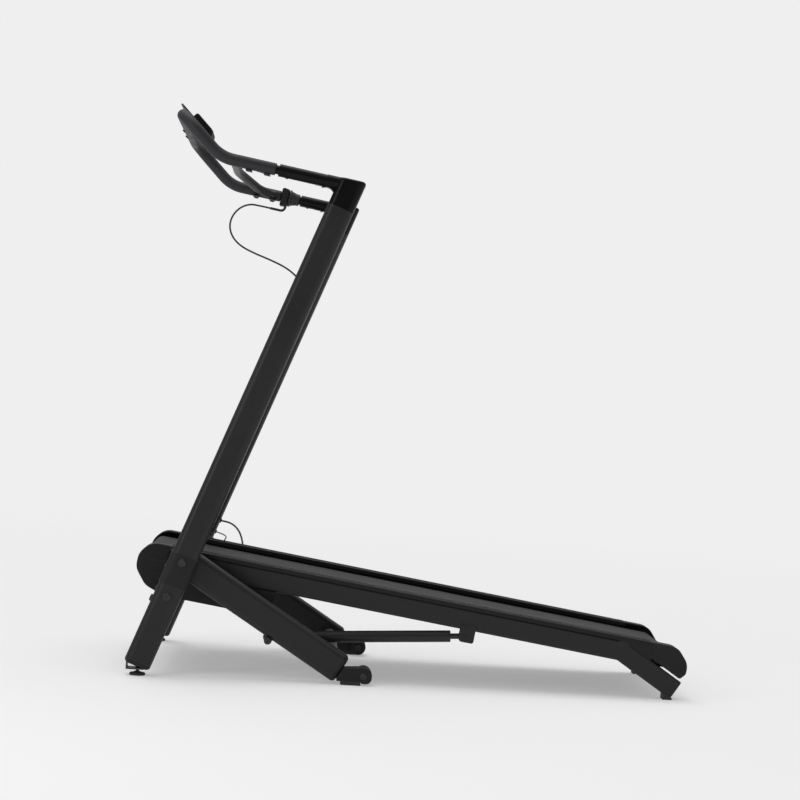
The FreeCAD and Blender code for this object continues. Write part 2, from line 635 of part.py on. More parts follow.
PULLEY_Y = RAIL_INNER_Y - 15.5
PULLEY_WIDTH = 6.0
DRIVE_PULLEY_D = 36.0
FLYWHEEL_PULLEY_D = 18.0
FLYWHEEL_Y0 = PULLEY_Y + PULLEY_WIDTH + 1.0
SHAFT_D = 10.0


def make_rollers():
    shell_bore = AXLE_D + 2 * PIN_CLEARANCE
    front = rod(ROLLER_D, -ROLLER_HALF, ROLLER_HALF, FRONT_ROLLER_X, ROLLER_Z)
    pulley = rod(DRIVE_PULLEY_D, ROLLER_HALF, PULLEY_Y + PULLEY_WIDTH, FRONT_ROLLER_X, ROLLER_Z)
    front = front.fuse(pulley)
    rear = rod(ROLLER_D, -ROLLER_HALF, ROLLER_HALF, REAR_ROLLER_X, ROLLER_Z)
    for node, roller, x in (("front_roller", front, FRONT_ROLLER_X), ("rear_roller", rear, REAR_ROLLER_X)):
        bore = rod(shell_bore, -300, 300, x, ROLLER_Z)
        mark = rod(3, -ROLLER_HALF - 1, -ROLLER_HALF + 3, x + 14, ROLLER_Z)
        keep(node, sit(roller.cut(bore).cut(mark), DECK))
        end = ROLLER_HALF + 17
        shaft = rod(AXLE_D, -end, end, x, ROLLER_Z)
        keep("roller_axles", sit(shaft, DECK))
    brackets = []
    for way in SIDES.values():
        y0 = way * (RAIL_INNER_Y - 3.5)
        y1 = way * (RAIL_INNER_Y - 0.5)
        nose = slab([(FRONT_ROLLER_X - 14, ROLLER_Z - 14, 8), (FRONT_ROLLER_X - 14, ROLLER_Z + 14, 8),
                     (RAIL_FRONT_X + 24, ROLLER_Z + 14, 3), (RAIL_FRONT_X + 24, ROLLER_Z - 14, 3)], y0, y1)
        tail = slab([(REAR_ROLLER_X - 116, ROLLER_Z - 8, 3), (REAR_ROLLER_X - 116, ROLLER_Z + 14, 3),
                     (REAR_ROLLER_X + 14, ROLLER_Z + 14, 8), (REAR_ROLLER_X + 14, ROLLER_Z - 14, 8),
                     (REAR_ROLLER_X - 26, ROLLER_Z - 14, 3)], y0, y1)
        for plate, x in ((nose, FRONT_ROLLER_X), (tail, REAR_ROLLER_X)):
            hole = rod(AXLE_D + 2 * BOLT_CLEARANCE, -300, 300, x, ROLLER_Z)
            brackets.append(sit(plate.cut(hole), DECK))
    keep("roller_brackets", *brackets)


def make_flywheel():
    """Resistance: a flywheel driven up from the front roller, with a magnet arm over its rim."""
    x = FLYWHEEL_X
    z = FLYWHEEL_Z
    y1 = RAIL_INNER_Y - 1.5
    disc = rod(FLYWHEEL_D, FLYWHEEL_Y0, y1, x, z)
    hub = rod(FLYWHEEL_PULLEY_D, PULLEY_Y, FLYWHEEL_Y0, x, z)
    turns = [math.radians(60 * k) for k in range(6)]
    holes = [rod(14, 0, 300, x + 27 * math.cos(a), z + 27 * math.sin(a)) for a in turns]
    disc = disc.fuse(hub).cut(rod(SHAFT_D + 2 * PIN_CLEARANCE, 0, 300, x, z))
    keep("flywheel", sit(disc.cut(Part.makeCompound(holes)), DECK))
    shaft = rod(SHAFT_D, PULLEY_Y - 10, y1 + 1, x, z)
    hanger = slab([(x - 14, z - 12, 6), (x - 14, BOARD_LOW - 1, 2), (x + 14, BOARD_LOW - 1, 2),
                   (x + 14, z - 12, 6)], PULLEY_Y - 6, PULLEY_Y - 2)
    hanger = hanger.cut(rod(SHAFT_D + 2 * BOLT_CLEARANCE, 0, 300, x, z))
    keep("brake_pins", sit(shaft, DECK))
    keep("brake_hangers", sit(hanger, DECK))
    keep("drive_belt", sit(drive_loop(1.3 + ROLLER_GAP).cut(drive_loop(ROLLER_GAP)), DECK))
    arm_x = x + FLYWHEEL_D / 2 + 16
    arm_y0 = FLYWHEEL_Y0 - 4
    arm = slab([(arm_x - 7, z - 40, 5), (arm_x - 7, z + 7, 6), (arm_x + 7, z + 7, 6), (arm_x + 7, z - 40, 5)],
               arm_y0, y1)
    shoe = slab([(arm_x - 13, z - 36, 1), (arm_x - 13, z - 16, 1), (arm_x - 6, z - 14, 1),
                 (arm_x - 6, z - 38, 1)], arm_y0, y1)
    arm = arm.fuse(shoe).cut(rod(6 + 2 * PIN_CLEARANCE, 0, 300, arm_x, z))
    keep("magnet_arm", sit(arm, DECK))
    pivot = rod(6, arm_y0 - 6, RAIL_INNER_Y - 3.2, arm_x, z)
    plate = slab([(arm_x - 10, z - 10, 5), (arm_x - 10, BOARD_LOW - 1, 2), (arm_x + 10, BOARD_LOW - 1, 2),
                  (arm_x + 10, z - 10, 5)], arm_y0 - 6, arm_y0 - 2)
    plate = plate.cut(rod(6 + 2 * BOLT_CLEARANCE, 0, 300, arm_x, z))
    keep("brake_pins", sit(pivot, DECK))
    keep("brake_hangers", sit(plate, DECK))


def drive_loop(gap):
    """Closed outline round the roller's pulley and the flywheel's, as a solid."""
    r1 = DRIVE_PULLEY_D / 2 + gap
    r2 = FLYWHEEL_PULLEY_D / 2 + gap
    dx = FLYWHEEL_X - FRONT_ROLLER_X
    dz = FLYWHEEL_Z - ROLLER_Z
    span = math.hypot(dx, dz)
    heading = math.atan2(dz, dx)
    lift = math.asin((r1 - r2) / span)
    corners = []
    for x, z, r, turn in ((FRONT_ROLLER_X, ROLLER_Z, r1, 1), (FLYWHEEL_X, FLYWHEEL_Z, r2, 1),
                          (FLYWHEEL_X, FLYWHEEL_Z, r2, -1), (FRONT_ROLLER_X, ROLLER_Z, r1, -1)):
        a = heading + turn * (math.pi / 2 - lift)
        corners.append((x + r * math.cos(a), z + r * math.sin(a), 0))
    y0 = PULLEY_Y + 0.5
    y1 = PULLEY_Y + PULLEY_WIDTH - 0.5
    body = slab(corners, y0, y1)
    ends = [rod(2 * r1, y0, y1, FRONT_ROLLER_X, ROLLER_Z), rod(2 * r2, y0, y1, FLYWHEEL_X, FLYWHEEL_Z)]
    return body.fuse(ends).removeSplitter()


# ---- deck: caps and under cover -------------------------------------------------------------
def nose_outline(inset, back):
    """Side view of the front cap, drawn smaller by inset."""
    n = -NOSE_REACH + inset
    return [(back, FOOT_RAIL_TOP - inset, 0), (-88 + inset * 0.6, FOOT_RAIL_TOP - inset, 42 - inset),
            (n, -6, 42 - inset), (n, -44, 38 - inset), (-84 + inset * 0.7, -82 + inset, 38 - inset),
            (-56, -92 + inset, 40 - inset), (back, -94 + inset, 0)]


def shell(outline, inner, y0, y1, wall, way):
    """Cap with a closed outer side and an open inner side, y0 inner and y1 outer."""
    body = slab(outline, way * y0, way * y1)
    outer_face = [f for f in body.Faces if abs(f.CenterOfMass.y - way * y1) < 0.01][0]
    joint = outline[0][0]
    body = body.makeFillet(2.5, [e for e in outer_face.Edges if abs(e.CenterOfMass.x - joint) > 1])
    return body.cut(slab(inner, way * (y0 - 1), way * (y1 - wall)))


def make_front_caps():
    for way in SIDES.values():
        cap = shell(nose_outline(0, FRONT_CAP_X), nose_outline(CAP_WALL, FRONT_CAP_X + 5),
                    CAP_IN_Y, CAP_OUT_Y, CAP_WALL, way)
        keep("front_caps", sit(cap, DECK))


def make_under_cover():
    floor = -BELLY_DEPTH
    half = CAP_IN_Y - 0.5
    outline = [(-110, -42, 4), (-110, -49, 8), (-84, -80, 14), (-56, -91, 20), (13, floor, 40),
               (127, floor, 60), (233, -70, 16), (241, -38.5, 4)]
    inside = [(-106, -38, 1), (-106, -48, 6), (-82, -77, 12), (-56, -88, 18), (13, floor + 3, 38),
              (127, floor + 3, 58), (230, -68, 14), (238, -38, 1)]
    tray = slab(outline, -half, half).cut(slab(inside, -half + 3, half - 3))
    tray = tray.cut(block(-90, 236, -half + 3, half - 3, -60, -30))
    skirts = []
    side_outline = [(FRONT_CAP_X, -40, 0), (FRONT_CAP_X, -93, 0), (13, floor, 40), (127, floor, 60),
                    (233, -70, 16), (241, RAIL_BOTTOM - 1, 2)]
    for way in SIDES.values():
        skirt = slab(side_outline, way * half, way * (RAIL_OUTER_Y - 2))
        room = [(FRONT_CAP_X - 1, -20, 0), (FRONT_CAP_X - 1, -90, 0), (13, floor + 3, 38),
                (127, floor + 3, 58), (229, -67, 12), (235, -20, 1)]
        skirt = skirt.cut(slab(room, way * (half - 1), way * (RAIL_OUTER_Y - 5)))
        skirts.append(skirt)
    cover = tray.fuse(skirts)
    opening = block(-40, 236, half - 4, half + 1, -96, -36)
    cover = cover.cut(opening)
    cover = cover.common(block(-200, 300, -300, 300, -120, RAIL_BOTTOM - 1))
    keep("under_cover", sit(cover.removeSplitter(), DECK))


def tail_outline(inset, front):
    """Side view of the rear cap; its underside follows the bent rail with a thin slot."""
    tail_top = DECK_LENGTH - 33
    slope = math.tan(math.radians(BEND_ANGLE))
    start = BEND_X + 2 + RAIL_HEIGHT / 2 * math.sin(math.radians(BEND_ANGLE))
    under = RAIL_TOP + 1.5 + inset
    tip = DECK_LENGTH - inset
    z_tip = under - (tip - 13 - start) * slope
    foot = front + 0.01
    return [(foot, under - (foot - start) * slope, 0), (foot, FOOT_RAIL_TOP - inset, 0),
            (tail_top - inset * 0.4, FOOT_RAIL_TOP - inset, 38), (tip, -12, 38 - inset), (tip, -38, 14),
            (tip - 13, z_tip, 6)]


def make_rear_caps():
    """Rear caps, each with a web that closes the step rail down to the bent rail."""
    rail = rail_solid(2 * CAP_OUT_Y, RAIL_HEIGHT, RAIL_CORNER, RAIL_FRONT_X, BEND_LENGTH + 20)
    for way in SIDES.values():
        cap = shell(tail_outline(0, REAR_CAP_X), tail_outline(CAP_WALL, REAR_CAP_X - 5),
                    CAP_IN_Y, CAP_OUT_Y, CAP_WALL, way)
        web = [(BEND_X + 6, RAIL_TOP - 30, 0), (BEND_X + 6, RAIL_TOP, 0), (REAR_CAP_X, RAIL_TOP, 0),
               (REAR_CAP_X, RAIL_TOP - 60, 0)]
        fill = slab(web, way * (RAIL_INNER_Y + 1), way * RAIL_OUTER_Y).cut(rail)
        fill = max(fill.Solids, key=lambda s: s.CenterOfMass.z)
        keep("rear_caps", solid_part(sit(cap, DECK).cut(PARTS["roller_brackets"])))
        keep("rear_caps", sit(fill, DECK))


def make_rear_feet():
    """Rubber foot under the end of each bent rail, flat on the floor with the deck down."""
    tip = V(BEND_X, 0, RAIL_MID) + V(math.cos(math.radians(BEND_ANGLE)), 0,
                                     -math.sin(math.radians(BEND_ANGLE))) * BEND_LENGTH
    end = DECK.multVec(tip)
    fall = math.radians(BEND_ANGLE + INCLINE)
    low = end + V(-math.sin(fall), 0, -math.cos(fall)) * (RAIL_HEIGHT / 2)
    for way in SIDES.values():
        y = way * RAIL_Y
        rise = math.tan(fall)
        length = 20.0
        outline = [(low.x - length, 0, 1.5), (low.x - length, low.z + length * rise + 3, 0),
                   (low.x + 2, low.z + 4, 0), (low.x + 5, low.z + 1, 1), (low.x + 4, 0, 2)]
        foot = slab(outline, y - 14, y + 14)
        rail_room = beam(RAIL_WIDTH, RAIL_HEIGHT, RAIL_CORNER, 0, BEND_LENGTH + 20)
        rail_room = sit(rail_room, FreeCAD.Placement(V(BEND_X, 0, RAIL_MID),
                                                     FreeCAD.Rotation(V(0, 1, 0), BEND_ANGLE)))
        keep("rear_feet", foot.cut(sit_at(rail_room, DECK, y)))


# ---- arms, handlebar and inner grip bar -----------------------------------------------------
ARM_REACH = 145.6         # arm's front end back from the handlebar's lower bend
VERTEX = ARM.multVec(V(-ARM_REACH, 0, 0))
RISE = V(-math.cos(math.radians(RISE_ANGLE)), 0, math.sin(math.radians(RISE_ANGLE)))
CONSOLE = frame(VERTEX.x, VERTEX.z, RISE_ANGLE)
SOCKET_DEPTH = 60.0
VERTEX_RADIUS = 95.0


def bar_points(left_end, right_end):
    """Handlebar's middle line; the ends are measured along the arms from the left sleeve."""
    top = VERTEX + RISE * RISE_LENGTH
    first = ARM.multVec(V(left_end, 0, 0))
    last = ARM.multVec(V(right_end, 0, 0))
    line = [(first, LEFT), (VERTEX, LEFT), (top, LEFT), (top, RIGHT), (VERTEX, RIGHT), (last, RIGHT)]
    return [V(p.x, way * BAR_Y, p.z) for p, way in line]


BAR_RADII = (VERTEX_RADIUS, BEND_RADIUS, BEND_RADIUS, VERTEX_RADIUS)
COVER_LEFT = -8.0
COVER_RIGHT = -6.0


def make_handlebar():
    ends = (SOCKET_DEPTH - 2, RIGHT_SLEEVE_SHORTER + SOCKET_DEPTH - 2)
    tube, _, _ = pipe(bar_points(*ends), BAR_D, BAR_RADII)
    bore, _, _ = pipe(bar_points(ends[0] + 1, ends[1] + 1), BAR_D - 2 * WALL, BAR_RADII)
    keep("handlebar", tube.cut(bore))
    skin, _, _ = pipe(bar_points(COVER_LEFT, COVER_RIGHT), COVER_D, BAR_RADII)
    hole, _, _ = pipe(bar_points(COVER_LEFT + 1, COVER_RIGHT + 1), BAR_D, BAR_RADII)
    keep("handlebar_cover", skin.cut(hole))


def make_arm_brackets():
    """Cast elbow a side: a socket for the handlebar that turns down into the upright's section."""
    arm_top = SLEEVE_D / 2
    root = 178.0
    for way in SIDES.values():
        front = 0.0 if way == LEFT else RIGHT_SLEEVE_SHORTER
        y = way * BAR_Y
        post = oval(POST_DEPTH, POST_WIDTH, POST_CORNER, POST_LENGTH, POST_LENGTH + 140)
        post = sit_at(post, POST, way * POST_Y)
        above = sit(block(-300, 400, -500, 500, arm_top, arm_top + 300), ARM)
        post = post.cut(above)
        rim = [e for e in post.Edges if ARM.inverse().multVec(e.CenterOfMass).z > arm_top - 0.5]
        post = post.makeFillet(7.0, rim)
        sleeve = sit(axial(SLEEVE_D, front, root, y), ARM)
        flare = sit(beam(POST_WIDTH - 12, SLEEVE_D, SLEEVE_D / 2 - 0.5, root - 60, root, way * POST_Y), ARM)
        # the inner corner is filled and hollowed out again to a round
        r = 24.0
        face = POST.multVec(V(-POST_DEPTH / 2, 0, POST_LENGTH + 30))
        turn = ARM.inverse().multVec(face)
        gusset = sit(block(turn.x - r - 22, turn.x + 24, y - 11, y + 11, -arm_top - r - 4, 0), ARM)
        lean = math.radians(LEAN + ARM_DROP)
        low = ARM.multVec(V(turn.x - (r / math.cos(lean)) - (-turn.z - arm_top - r) * math.tan(lean), 0,
                            -arm_top - r))
        gusset = gusset.cut(rod(2 * r, -500, 500, low.x, low.z))
        front_half = sit_at(block(-300, -POST_DEPTH / 2 + 6, -500, 500, 0, POST_LENGTH + 200), POST, 0)
        inner_side = gusset.common(front_half)
        cutter = sit(block(turn.x - r - 300, turn.x - r - 6, -500, 500, -200, -arm_top + 0.2), ARM)
        inner_side = inner_side.cut(cutter)
        bracket = post.fuse([sleeve, flare])
        spur = oval(POST_DEPTH - 6, POST_WIDTH - 6, POST_CORNER - 3, POST_LENGTH - 40, POST_LENGTH + 2)
        bracket = bracket.fuse(sit_at(spur, POST, way * POST_Y))
        bracket = bracket.cut(sit(axial(BAR_D, front - 1, front + SOCKET_DEPTH, y), ARM))
        bracket = bracket.fuse(solid_part(inner_side))
        if way == RIGHT:
            bracket = bracket.cut(PARTS["handlebar"])
        screw = sit(rod_z(6, front + 22, y, -SLEEVE_D / 2 - 1.5, -BAR_D / 2), ARM)
        keep("arm_brackets", solid_part(bracket.cut(screw)))
        keep("handle_screws", screw)


GRIP_X0 = -5.0
HOUSING_LENGTH = 22.0


def make_twist_grip():
    y = BAR_Y
    tube_room = axial(BAR_D, -60, 150, y)
    z0 = 26.0
    body = slab([(GRIP_X0, -z0, 4), (GRIP_X0, z0, 6), (GRIP_X0 + HOUSING_LENGTH, z0 - 4, 6),
                 (GRIP_X0 + HOUSING_LENGTH, -z0 + 2, 6)], y - 19, y + 19)
    body = body.makeFillet(6, [e for e in body.Edges if abs(e.CenterOfMass.y - y) > 18.5])
    keep("twist_grip_housing", sit(body.cut(tube_room), ARM))
    x0 = GRIP_X0 + HOUSING_LENGTH + 0.3
    cone = Part.makeCone(22, 16, 20, V(x0, y, 0), V(1, 0, 0)).fuse(axial(32, x0 + 20, x0 + 28, y))
    cone = cone.fuse(axial(46, x0, x0 + 5, y))
    grooves = []
    for k in range(16):
        a = math.radians(22.5 * k)
        start = V(x0 + 5, y + 22.5 * math.cos(a), 22.5 * math.sin(a))
        stop = V(x0 + 29, y + 16.8 * math.cos(a), 16.8 * math.sin(a))
        grooves.append(Part.makeCylinder(1.4, (stop - start).Length, start, stop - start))
    cone = cone.cut(Part.makeCompound(grooves)).cut(axial(BAR_D + 2 * PIN_CLEARANCE, x0 - 1, x0 + 40, y))
    keep("twist_grip", sit(cone, ARM))
    collar = axial(27, x0 + 28.4, x0 + 30, y).cut(tube_room)
    keep("twist_grip_housing", sit(collar, ARM))


GRIP_ENDS_Y = 313.0


def make_inner_bar():
    half = [V(54, INNER_BAR_Y, 1284), V(112, GRIP_ENDS_Y - 4, 1253), V(150, GRIP_ENDS_Y, 1243.5)]
    points = [V(p.x, -p.y, p.z) for p in reversed(half)] + half
    points = [p + V(ARM_X - 172.6, 0, ARM_Z - 1243.3) for p in points]
    bar, _, _ = pipe(points, INNER_BAR_D, (50, 150, 150, 50))
    keep("inner_grip_bar", bar)
    straps = []
    screws = []
    for way in SIDES.values():
        low = -COVER_D / 2
        y0 = way * (GRIP_ENDS_Y - 8)
        y1 = way * (BAR_Y + 6)
        for x in (-72.0, -27.0):
            straps.append(block(x - 8, x + 8, min(y0, y1), max(y0, y1), low - 2, low))
            screws.append(rod_z(6, x, way * BAR_Y, low - 2, -BAR_D / 2))
            screws.append(rod_z(11, x, way * BAR_Y, low - 5, low - 2))
    cover = PARTS["handlebar_cover"]
    drills = Part.makeCompound(screws)
    keep("handle_clamps", *[sit(s.cut(drills), ARM) for s in straps])
    PARTS["handlebar_cover"] = cover.cut(Part.makeCompound([sit(s, ARM) for s in screws]))
    keep("handle_screws", *[sit(a, ARM).fuse(sit(b, ARM)) for a, b in zip(screws[::2], screws[1::2])])


# ---- console --------------------------------------------------------------------------------
PANEL_Z = 20.0
BUTTON_D = 12.0
BUTTON_X = -106.0
BUTTON_TRAVEL = 1.5


def make_console():
    top = PANEL_Z + PANEL_THICK
    panel = oval(112, 2 * PANEL_HALF, 16, PANEL_Z, top)
    panel.translate(V(-133, 0, 0))
    panel = panel.makeFillet(1.5, [e for e in panel.Edges if abs(e.CenterOfMass.z - top) < 0.01])
    keep("console_panel", sit(panel, CONSOLE))
    mounts = []
    screws = []
    for y in (-60, 60):
        saddle = slab([(-RISE_LENGTH - 15, PANEL_Z, 2), (-RISE_LENGTH + 15, PANEL_Z, 2),
                       (-RISE_LENGTH + 15, 3, 2), (-RISE_LENGTH - 15, 3, 2)], y - 9, y + 9)
        mounts.append(sit(saddle.cut(rod(COVER_D, y - 20, y + 20, -RISE_LENGTH, 0)), CONSOLE))
        screws.append(sit(rod_z(9, -RISE_LENGTH, y, -COVER_D / 2 - 3, -COVER_D / 2), CONSOLE))
    keep("handle_clamps", *mounts)
    keep("handle_screws", *screws)
    high = top + 18
    half = DISPLAY_WIDTH / 2
    case = slab([(-157, top, 0), (-157, high, 6), (-96, high, 14), (-84, top, 4)], -half, half)
    case = case.makeFillet(4, [e for e in case.Edges if abs(e.CenterOfMass.y) > half - 0.01
                               and e.CenterOfMass.z > top + 1])
    case = case.cut(rod_z(BUTTON_D + 1, BUTTON_X, 0, high - 8, high + 5))
    case = case.cut(block(-151, -117, -half + 9, half - 9, high - 2, high + 2))
    keep("display_housing", sit(case, CONSOLE))
    lens = block(-150.7, -117.3, -half + 9.3, half - 9.3, high - 2, high - 0.4)
    keep("display_lens", sit(lens, CONSOLE))
    button = rod_z(BUTTON_D, BUTTON_X, 0, high - 8 + BUTTON_TRAVEL + 0.5, high + 1.2)
    keep("display_button", sit(button, CONSOLE))


# ---- cables ---------------------------------------------------------------------------------
CABLE_IN = 772.0          # grommets on the right upright, up it from the hinge axis
CABLE_OUT = 78.0
SENSOR_OUT = 45.0
SENSOR_D = 3.2
CABLE_PORT_X = 130.0      # ports in the right side rail, along the deck
SENSOR_PORT_X = 62.0
CABLE_PORT_Z = -14.0

UPPER_LOOP = [(140, 341, 1210), (112, 341, 1214.5), (82, 342, 1218), (54, 343, 1205), (35, 344, 1180),
              (30, 345, 1150), (42, 345, 1121), (67, 345, 1099), (104, 345, 1083), (148, 345, 1068),
              (188, 345, 1052), (216, 345, 1034), (238.2, 345, 1013.5)]
LOWER_LOOP = [(58.1, 345, 340), (77, 344, 338.5), (96, 337, 331), (112, 323, 316), (121, 304, 297),
              (126, 285, 278), (127.5, 268, 260), (127, 250.5, 247)]
SENSOR_LOOP = [(46.6, 345, 309), (62, 341, 305), (73, 327, 302), (78, 309, 299), (77, 291, 295),
               (71, 275, 286), (64, 263, 272), (59.5, 250.5, 256)]


def make_cables():
    routes = {"brake_cable_upper": (UPPER_LOOP, CABLE_D), "brake_cable_lower": (LOWER_LOOP, CABLE_D),
              "sensor_cable_lower": (SENSOR_LOOP, SENSOR_D)}
    for node, (route, d) in routes.items():
        tube, length, radii = pipe([V(*p) for p in route], d)
        print(node, "length", round(length, 1), "volume ratio",
              round(tube.Volume / (length * math.pi * d * d / 4), 4), "radii", [round(r) for r in radii])
        keep(node, tube)
    half = POST_DEPTH / 2
    inside = [V(-half, 0, CABLE_IN), V(-12, 0, CABLE_IN - 14), V(0, 0, CABLE_IN - 60),
              V(0, 0, CABLE_OUT + 60), V(12, 0, CABLE_OUT + 14), V(half, 0, CABLE_OUT)]
    inner, _, _ = pipe(inside, CABLE_D, (26, 60, 60, 26))
    inner = sit_at(inner, POST, POST_Y).cut(PARTS["brake_cable_upper"]).cut(PARTS["brake_cable_lower"])
    keep("brake_cable_in_post", solid_part(inner))
    elbow = [V(181, BAR_Y, 1224), V(179.5, BAR_Y, 1203.5), V(160, 340.7, 1206.8), V(140, 341, 1210)]
    noodle, _, _ = pipe(elbow, 7.0, (11, 60))
    keep("cable_noodle", noodle.cut(PARTS["twist_grip_housing"]))
    rings = []
    for s, d, x in ((CABLE_IN, CABLE_D, -half), (CABLE_OUT, CABLE_D, half), (SENSOR_OUT, SENSOR_D, half)):
        outward = 1 if x > 0 else -1
        neck = axial(d + 2, min(x, x - outward * WALL), max(x, x - outward * WALL), 0, s)
        lip = axial(d + 7, min(x, x + outward * 2.5), max(x, x + outward * 2.5), 0, s)
        whole = sit_at(neck.fuse(lip), POST, POST_Y)
        for cable in ("brake_cable_upper", "brake_cable_lower", "sensor_cable_lower", "brake_cable_in_post"):
            whole = whole.cut(PARTS[cable])
        rings.append(whole)
    keep("cable_grommets", *rings)
    rings = []
    for x, d in ((CABLE_PORT_X, CABLE_D), (SENSOR_PORT_X, SENSOR_D)):
        neck = rod(d + 2, RAIL_OUTER_Y - WALL, RAIL_OUTER_Y, x, CABLE_PORT_Z)
        lip = rod(d + 7, RAIL_OUTER_Y, RAIL_OUTER_Y + 2.5, x, CABLE_PORT_Z)
        whole = sit(neck.fuse(lip), DECK)
        rings.append(whole.cut(PARTS["brake_cable_lower"]).cut(PARTS["sensor_cable_lower"]))
    keep("rail_grommets", *rings)


def build():
    make_posts()
    make_leg_bolts()
    make_rear_legs()
    make_cross_tubes()
    make_pivots()
    make_front_feet()
    make_wheel_brackets()
    make_strut()
    make_side_rails()
    make_foot_rails()
    make_deck_board()
    make_belt()
    make_rollers()
    make_flywheel()
    make_front_caps()
    make_under_cover()
    make_rear_caps()
    make_rear_feet()
    make_handlebar()
    make_arm_brackets()
    make_twist_grip()
    make_inner_bar()
    make_console()
    make_cables()


build()
WHOLE = Part.makeCompound(list(PARTS.values())).optimalBoundingBox(False, False)
SHIFT = V(-(WHOLE.XMin + WHOLE.XMax) / 2, -(WHOLE.YMin + WHOLE.YMax) / 2, -WHOLE.ZMin)
os.makedirs("parts", exist_ok=True)
for name, shape in PARTS.items():
    placed = shape.copy()
    placed.translate(SHIFT)
    placed.exportStep("parts/" + name + ".step")
print("nodes", len(PARTS), "size", round(WHOLE.XLength, 1), round(WHOLE.YLength, 1), round(WHOLE.ZLength, 1))
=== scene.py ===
"""Looks of the folding treadmill: finishes, soft covering, cables, raised details and a plain studio."""
import json
import math
import bmesh
import bpy
from mathutils import Matrix, Vector


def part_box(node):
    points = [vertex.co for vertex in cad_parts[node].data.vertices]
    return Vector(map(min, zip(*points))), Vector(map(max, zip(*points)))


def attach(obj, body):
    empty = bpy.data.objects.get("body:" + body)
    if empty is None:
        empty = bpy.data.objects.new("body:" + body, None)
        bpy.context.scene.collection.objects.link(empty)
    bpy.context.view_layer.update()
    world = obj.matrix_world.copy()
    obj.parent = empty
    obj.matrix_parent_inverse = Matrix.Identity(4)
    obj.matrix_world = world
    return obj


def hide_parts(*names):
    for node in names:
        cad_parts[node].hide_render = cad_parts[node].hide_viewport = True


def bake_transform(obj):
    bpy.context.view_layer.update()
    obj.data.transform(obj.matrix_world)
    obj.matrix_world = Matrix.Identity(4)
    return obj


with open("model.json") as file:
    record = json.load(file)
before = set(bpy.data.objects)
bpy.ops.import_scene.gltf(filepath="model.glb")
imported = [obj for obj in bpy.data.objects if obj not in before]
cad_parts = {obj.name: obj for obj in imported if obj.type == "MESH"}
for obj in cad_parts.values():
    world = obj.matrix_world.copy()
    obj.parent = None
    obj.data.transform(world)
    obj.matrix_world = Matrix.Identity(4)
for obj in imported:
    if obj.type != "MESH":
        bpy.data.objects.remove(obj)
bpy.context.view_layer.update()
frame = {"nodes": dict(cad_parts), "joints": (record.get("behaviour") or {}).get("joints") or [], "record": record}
NODES = frame["nodes"]

# ---- where things are ------------------------------------------------------------------------
MM = 0.001
INCLINE = math.radians(7.86)       # deck in use
ARM_FALL = math.radians(8.8)       # arms and hand grips
RISE = math.radians(45.6)          # front of the handlebar
FOLD = next(j for j in frame["joints"] if j["name"] == "deck_fold")
HINGE = Vector(FOLD["pos_m"])
HINGE_HEIGHT = 278.4               # above the floor


def row(x, y, z):
    """A point in millimetres, behind the hinge axis and above the floor, in the shared frame."""
    return Vector((HINGE.x + x * MM, y * MM, HINGE.z + (z - HINGE_HEIGHT) * MM))


def turned(origin, angle):
    """Frame turned about +Y: its own X falls to the rear by that angle."""
    return Matrix.Translation(origin) @ Matrix.Rotation(angle, 4, "Y")


def on(place, x, y, z):
    """A point in millimetres of a turned frame, in the shared frame."""
    return place @ Vector((x * MM, y * MM, z * MM))


ARM_REACH = 145.6                  # from the arms' front ends to the handlebar's lower bends
DECK = turned(HINGE, INCLINE)
ARM = turned(row(172.6, 0, 1243.3), ARM_FALL)
CONSOLE = turned(on(ARM, -ARM_REACH, 0, 0), RISE)


# ---- camera ----------------------------------------------------------------------------------
CAMERA_PLACE = (282, -5324, 708.5)
CAMERA_TURN = (2.523, -0.042, 3.684)     # pan, tilt and roll in degrees
LENS = 92.1
FILM_WIDTH = 36.0


def set_camera():
    pan, tilt, roll = (math.radians(angle) for angle in CAMERA_TURN)
    ahead = Vector((math.sin(pan) * math.cos(tilt), math.cos(pan) * math.cos(tilt), math.sin(tilt)))
    level = ahead.cross(Vector((0, 0, 1))).normalized()
    above = level.cross(ahead)
    right = level * math.cos(roll) + above * math.sin(roll)
    up = right.cross(ahead)
    data = bpy.data.cameras.new("camera")
    data.sensor_width = FILM_WIDTH
    data.lens = LENS
    camera = bpy.data.objects.new("camera", data)
    turn = Matrix((right, up, -ahead)).transposed().to_4x4()
    camera.matrix_world = Matrix.Translation(row(*CAMERA_PLACE)) @ turn
    bpy.context.scene.collection.objects.link(camera)
    bpy.context.scene.camera = camera


# ---- shader groups ---------------------------------------------------------------------------
class Nodes:
    """Short way to place and join nodes in one tree."""

    def __init__(self, tree):
        self.tree = tree

    def add(self, kind, **settings):
        node = self.tree.nodes.new(kind)
        for key, value in settings.items():
            setattr(node, key, value)
        return node

    def join(self, source, target):
        self.tree.links.new(source, target)

    def maths(self, operation, first, second=None):
        node = self.add("ShaderNodeMath", operation=operation)
        for socket, value in zip(node.inputs, (first, second)):
            if isinstance(value, (int, float)):
                socket.default_value = value
            elif value is not None:
                self.join(value, socket)
        return node.outputs[0]

    def span(self, value, low, high, to_low=0.0, to_high=1.0):
        node = self.add("ShaderNodeMapRange")
        self.join(value, node.inputs["Value"])
        for label, number in (("From Min", low), ("From Max", high), ("To Min", to_low), ("To Max", to_high)):
            node.inputs[label].default_value = number
        return node.outputs["Result"]

    def noise(self, vector, scale, detail, roughness):
        node = self.add("ShaderNodeTexNoise")
        self.join(vector, node.inputs["Vector"])
        self.join(scale, node.inputs["Scale"])
        node.inputs["Detail"].default_value = detail
        node.inputs["Roughness"].default_value = roughness
        return node.outputs["Fac"]


SOCKETS = {"value": "NodeSocketFloat", "vector": "NodeSocketVector"}


